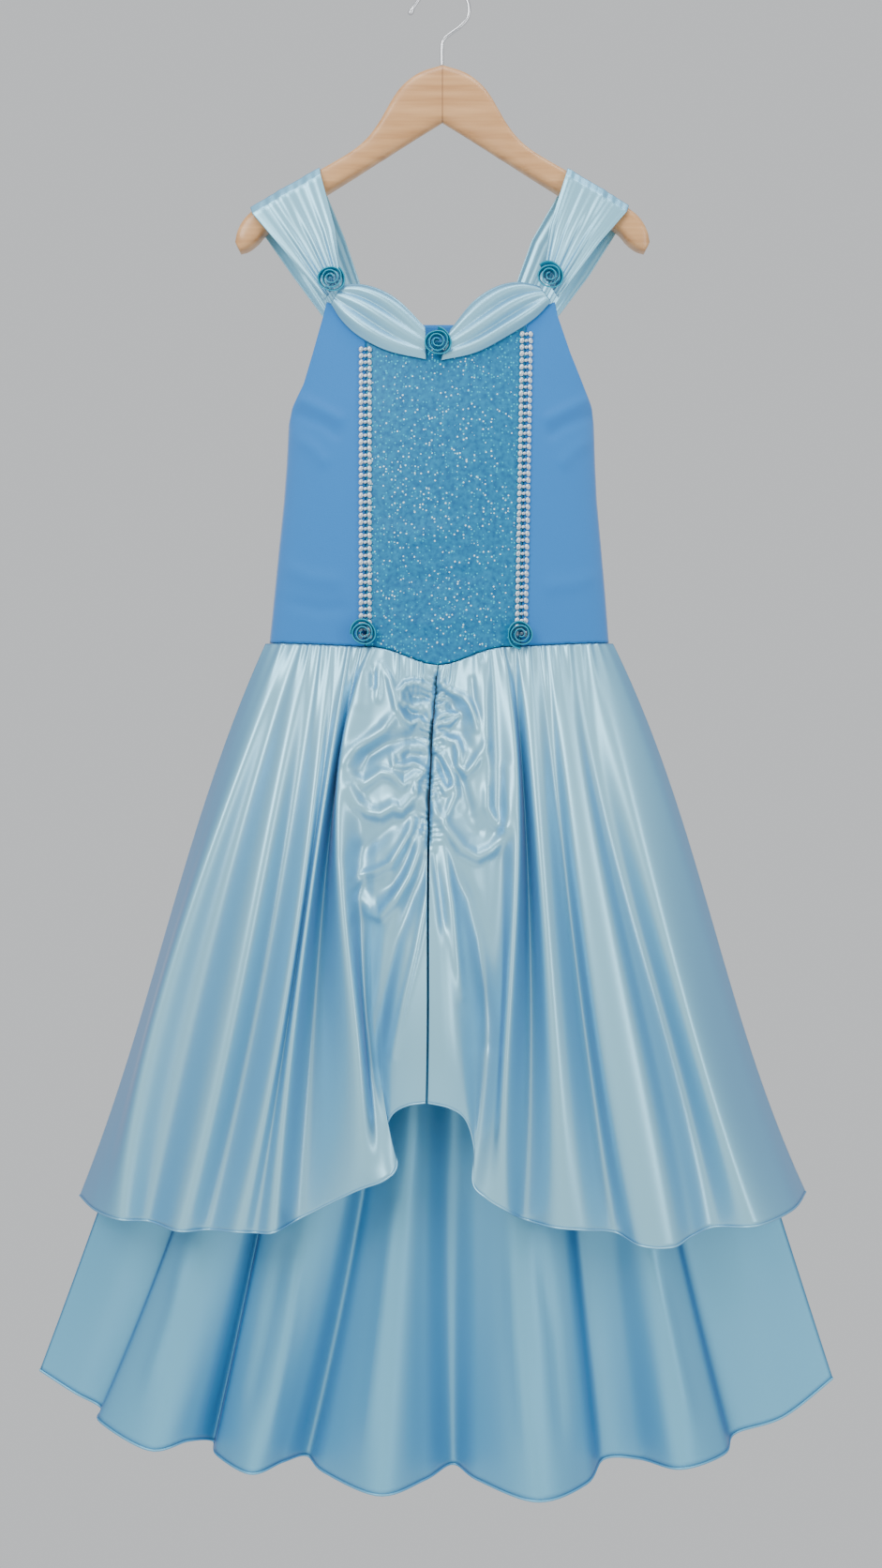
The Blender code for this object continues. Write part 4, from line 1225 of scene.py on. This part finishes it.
OVERSKIRT_RIGHT: tuple[tuple[float, ...], ...] = (
    (211.0, 267.0, 311.0, -1031.0, 0.0, 0.0, 0.0),
    (197.0, 251.0, 291.0, -1035.7, -30.0, -35.0, -50.0),
    (168.0, 218.0, 254.6, -1040.0, -58.0, -80.0, -90.0),
    (148.0, 199.0, 223.0, -1044.0, -48.0, -60.0, -75.0),
    (138.0, 182.0, 203.0, -1048.0, -52.0, -72.0, -90.0),
    (128.0, 165.0, 185.0, -1053.0, -65.0, -95.0, -108.0),
    (111.0, 137.0, 160.0, -1052.0, -66.0, -95.0, -108.0),
    (101.0, 124.0, 140.6, -1046.0, -52.0, -70.0, -85.0),
    (88.0, 103.0, 113.0, -1041.0, -66.0, -92.0, -100.0),
    (79.0, 89.0, 91.0, -1039.0, -68.0, -94.0, -100.0),
    (71.0, 73.0, 69.0, -1037.0, -47.0, -70.0, -80.0),
    (63.0, 53.0, 53.0, -1026.0, -72.0, -98.0, -98.0),
    (50.0, 46.0, 37.0, -1016.0, -60.0, -85.0, -100.0),
    (37.0, 37.0, 26.0, -1005.6, -62.0, -76.0, -92.0),
    (23.0, 27.0, 27.0, -979.0, -63.0, -82.0, -85.0),
    (7.0, 13.0, 20.5, -955.0, -61.0, -95.0, -90.0),
    (-2.0, 2.0, 7.5, -944.0, -60.0, -99.0, -96.0),
    (-9.0, -9.5, -10.5, -939.0, -60.0, -100.0, -100.0),
)
UNDERSKIRT: tuple[tuple[float, ...], ...] = (
    (-275.0, -342.0, -1183.0, 0.0, 0.0),
    (-243.0, -311.0, -1198.0, -20.0, -12.0),
    (-214.0, -287.0, -1209.0, -24.0, -18.0),
    (-208.0, -283.0, -1213.0, -34.0, -44.0),
    (-190.0, -238.0, -1227.0, -50.0, -72.0),
    (-159.0, -209.0, -1226.0, -40.0, -52.0),
    (-149.0, -192.0, -1235.0, -25.0, -24.0),
    (-143.0, -186.0, -1240.0, -36.0, -45.0),
    (-112.0, -155.0, -1245.0, -52.0, -76.0),
    (-84.0, -131.0, -1244.0, -42.0, -50.0),
    (-70.0, -113.0, -1247.5, -25.0, -24.0),
    (-60.0, -97.0, -1254.0, -36.0, -46.0),
    (-34.0, -50.0, -1259.0, -55.0, -86.0),
    (-13.0, -13.0, -1258.0, -42.0, -52.0),
    (8.0, 10.0, -1256.0, -22.0, -20.0),
    (31.0, 31.0, -1260.0, -36.0, -48.0),
    (66.0, 78.0, -1264.0, -56.0, -86.0),
    (101.0, 120.0, -1261.0, -42.0, -54.0),
    (115.0, 137.0, -1250.0, -24.0, -25.0),
    (140.0, 166.0, -1247.0, -30.0, -34.0),
    (166.0, 196.0, -1243.0, -48.0, -70.0),
    (188.0, 235.0, -1239.0, -36.0, -46.0),
    (199.0, 248.0, -1231.0, -20.0, -18.0),
    (240.0, 290.0, -1219.0, -16.0, -12.0),
    (274.0, 334.0, -1190.0, 0.0, 0.0),
)


@dataclass
class Underskirt:
    """The longer and duller skirt beneath."""

    bodice: Bodice
    waist: tuple[float, float] = (-141.0, 138.0)
    drop: float = 2.0

    def build(self, maker: Maker) -> None:
        """Make the front and back with their hems.

        Args:
            maker: makes the pieces.
        """
        front = SkirtFront((0.0, 0.7, 1.0), UNDERSKIRT, self.waist[0], self.waist[1], 5.0,
                           self.bodice)

        def surface(u: Array, v: Array) -> Array:
            """Place shares on the underskirt front."""
            points = front.points(u, v)
            across = np.abs(2.0 * u - 1.0)
            points[:, 1] += gathers(u, v, 24, 2, 2.0) * smooth((1.0 - across) * 7.0)
            points[:, 1] -= UnderCreases.lift(points[:, 0], points[:, 2])
            points[:, 2] -= self.drop * (1.0 - v)
            return points

        def behind(u: Array, v: Array) -> Array:
            """Place shares on the underskirt back."""
            points = back_surface(front, front, (16.0, 27.0), 5, 9.0, 45.0)(u, v)
            points[:, 2] -= self.drop * (1.0 - v)
            return points

        item = maker.shell("underskirt_satin_front", 240, 130, surface, DULL, "underskirt_front")
        hem = hem_roll(maker, "underskirt_hem_front", surface, 1.0, DULL)
        item = maker.shell("underskirt_satin_back", 140, 90, behind, DULL, "underskirt_back")
        hem = hem_roll(maker, "underskirt_hem_back", behind, 1.0, DULL)


class UnderCreases:
    """Soft creases of the underskirt front."""

    creases: tuple[Crease, ...] = (
        Crease(3.0, 6.0, ((196, 1330), (182, 1400), (150, 1500)), 0.4, 0.2),
        Crease(3.0, 6.0, ((318, 1330), (306, 1420), (284, 1540)), 0.4, 0.2),
        Crease(-2.5, 6.0, ((300, 1330), (282, 1430), (262, 1520)), 0.4, 0.2),
        Crease(3.0, 6.0, ((420, 1290), (408, 1400), (388, 1560)), 0.4, 0.2),
        Crease(3.0, 6.0, ((545, 1310), (552, 1430), (566, 1570)), 0.4, 0.2),
        Crease(-2.5, 6.0, ((575, 1330), (590, 1430), (600, 1560)), 0.4, 0.2),
        Crease(2.6, 6.0, ((700, 1350), (722, 1450), (742, 1540)), 0.4, 0.2),
    )

    @classmethod
    def lift(cls, x: Array, z: Array) -> Array:
        """Lift of the creases at places."""
        return lift_all(cls.creases, x, z, UNDERSKIRT_CREASE_Y)


@dataclass
class Studio:
    """Floor, lights, world and camera."""

    floor_z: float = -1.55

    def area_light(self, name: str, place: tuple[float, float, float], size: tuple[float, float],
                   power: float) -> None:
        """A softbox turned to the middle of the dress.

        Args:
            name: name of the light.
            place: where it stands, in metres.
            size: width and height in metres.
            power: power in watts.
        """
        data = bpy.data.lights.new(name, "AREA")
        data.shape = "RECTANGLE"
        data.size, data.size_y = size
        data.energy = power
        item = bpy.data.objects.new(name, data)
        bpy.context.scene.collection.objects.link(item)
        item.location = place
        target = Vector((0.0, 0.0, EYE_Z * MM))
        item.rotation_euler = (target - Vector(place)).to_track_quat("-Z", "Y").to_euler()

    def build(self) -> None:
        """Set the stage."""
        bm = bmesh.new()
        bmesh.ops.create_grid(bm, x_segments=1, y_segments=1, size=3.0)
        data = bpy.data.meshes.new("floor")
        bm.to_mesh(data)
        bm.free()
        data.materials.append(PALE.material())
        floor = bpy.data.objects.new("floor", data)
        bpy.context.scene.collection.objects.link(floor)
        floor.location = (0.0, -2.6, self.floor_z)
        world = bpy.data.worlds.new("pale")
        bpy.context.scene.world = world
        world.use_nodes = True
        sky = world.node_tree.nodes["Background"]
        sky.inputs["Color"].default_value = (0.80, 0.82, 0.84, 1.0)
        sky.inputs["Strength"].default_value = 0.85
        self.area_light("key_softbox", (-1.0, -1.6, 0.5), (0.9, 1.2), 26.0)
        self.area_light("fill_softbox", (1.4, -1.4, -0.2), (0.5, 1.6), 10.0)
        self.area_light("top_softbox", (0.1, -0.5, 0.9), (1.4, 0.5), 12.0)
        camera = bpy.data.cameras.new("camera")
        camera.sensor_fit = "VERTICAL"
        camera.sensor_height = 36.0
        camera.lens = 36.0 * EYE_BACK / (1672.0 * DOT)
        item = bpy.data.objects.new("camera", camera)
        bpy.context.scene.collection.objects.link(item)
        item.location = (0.0, -EYE_BACK * MM, EYE_Z * MM)
        item.rotation_euler = (math.radians(90.0), 0.0, 0.0)
        bpy.context.scene.camera = item


def main() -> None:
    """Build the classes in order and log how many pieces there are."""
    logging.basicConfig(level=logging.INFO)
    maker = Maker()
    bodice = Bodice()
    Hanger().build(maker)
    bodice.build(maker)
    Trim(bodice).build(maker)
    Overskirt(bodice).build(maker)
    Underskirt(bodice).build(maker)
    Studio().build()
    LOG.info("%d pieces", len(maker.pieces))


if __name__ == "__main__":
    main()
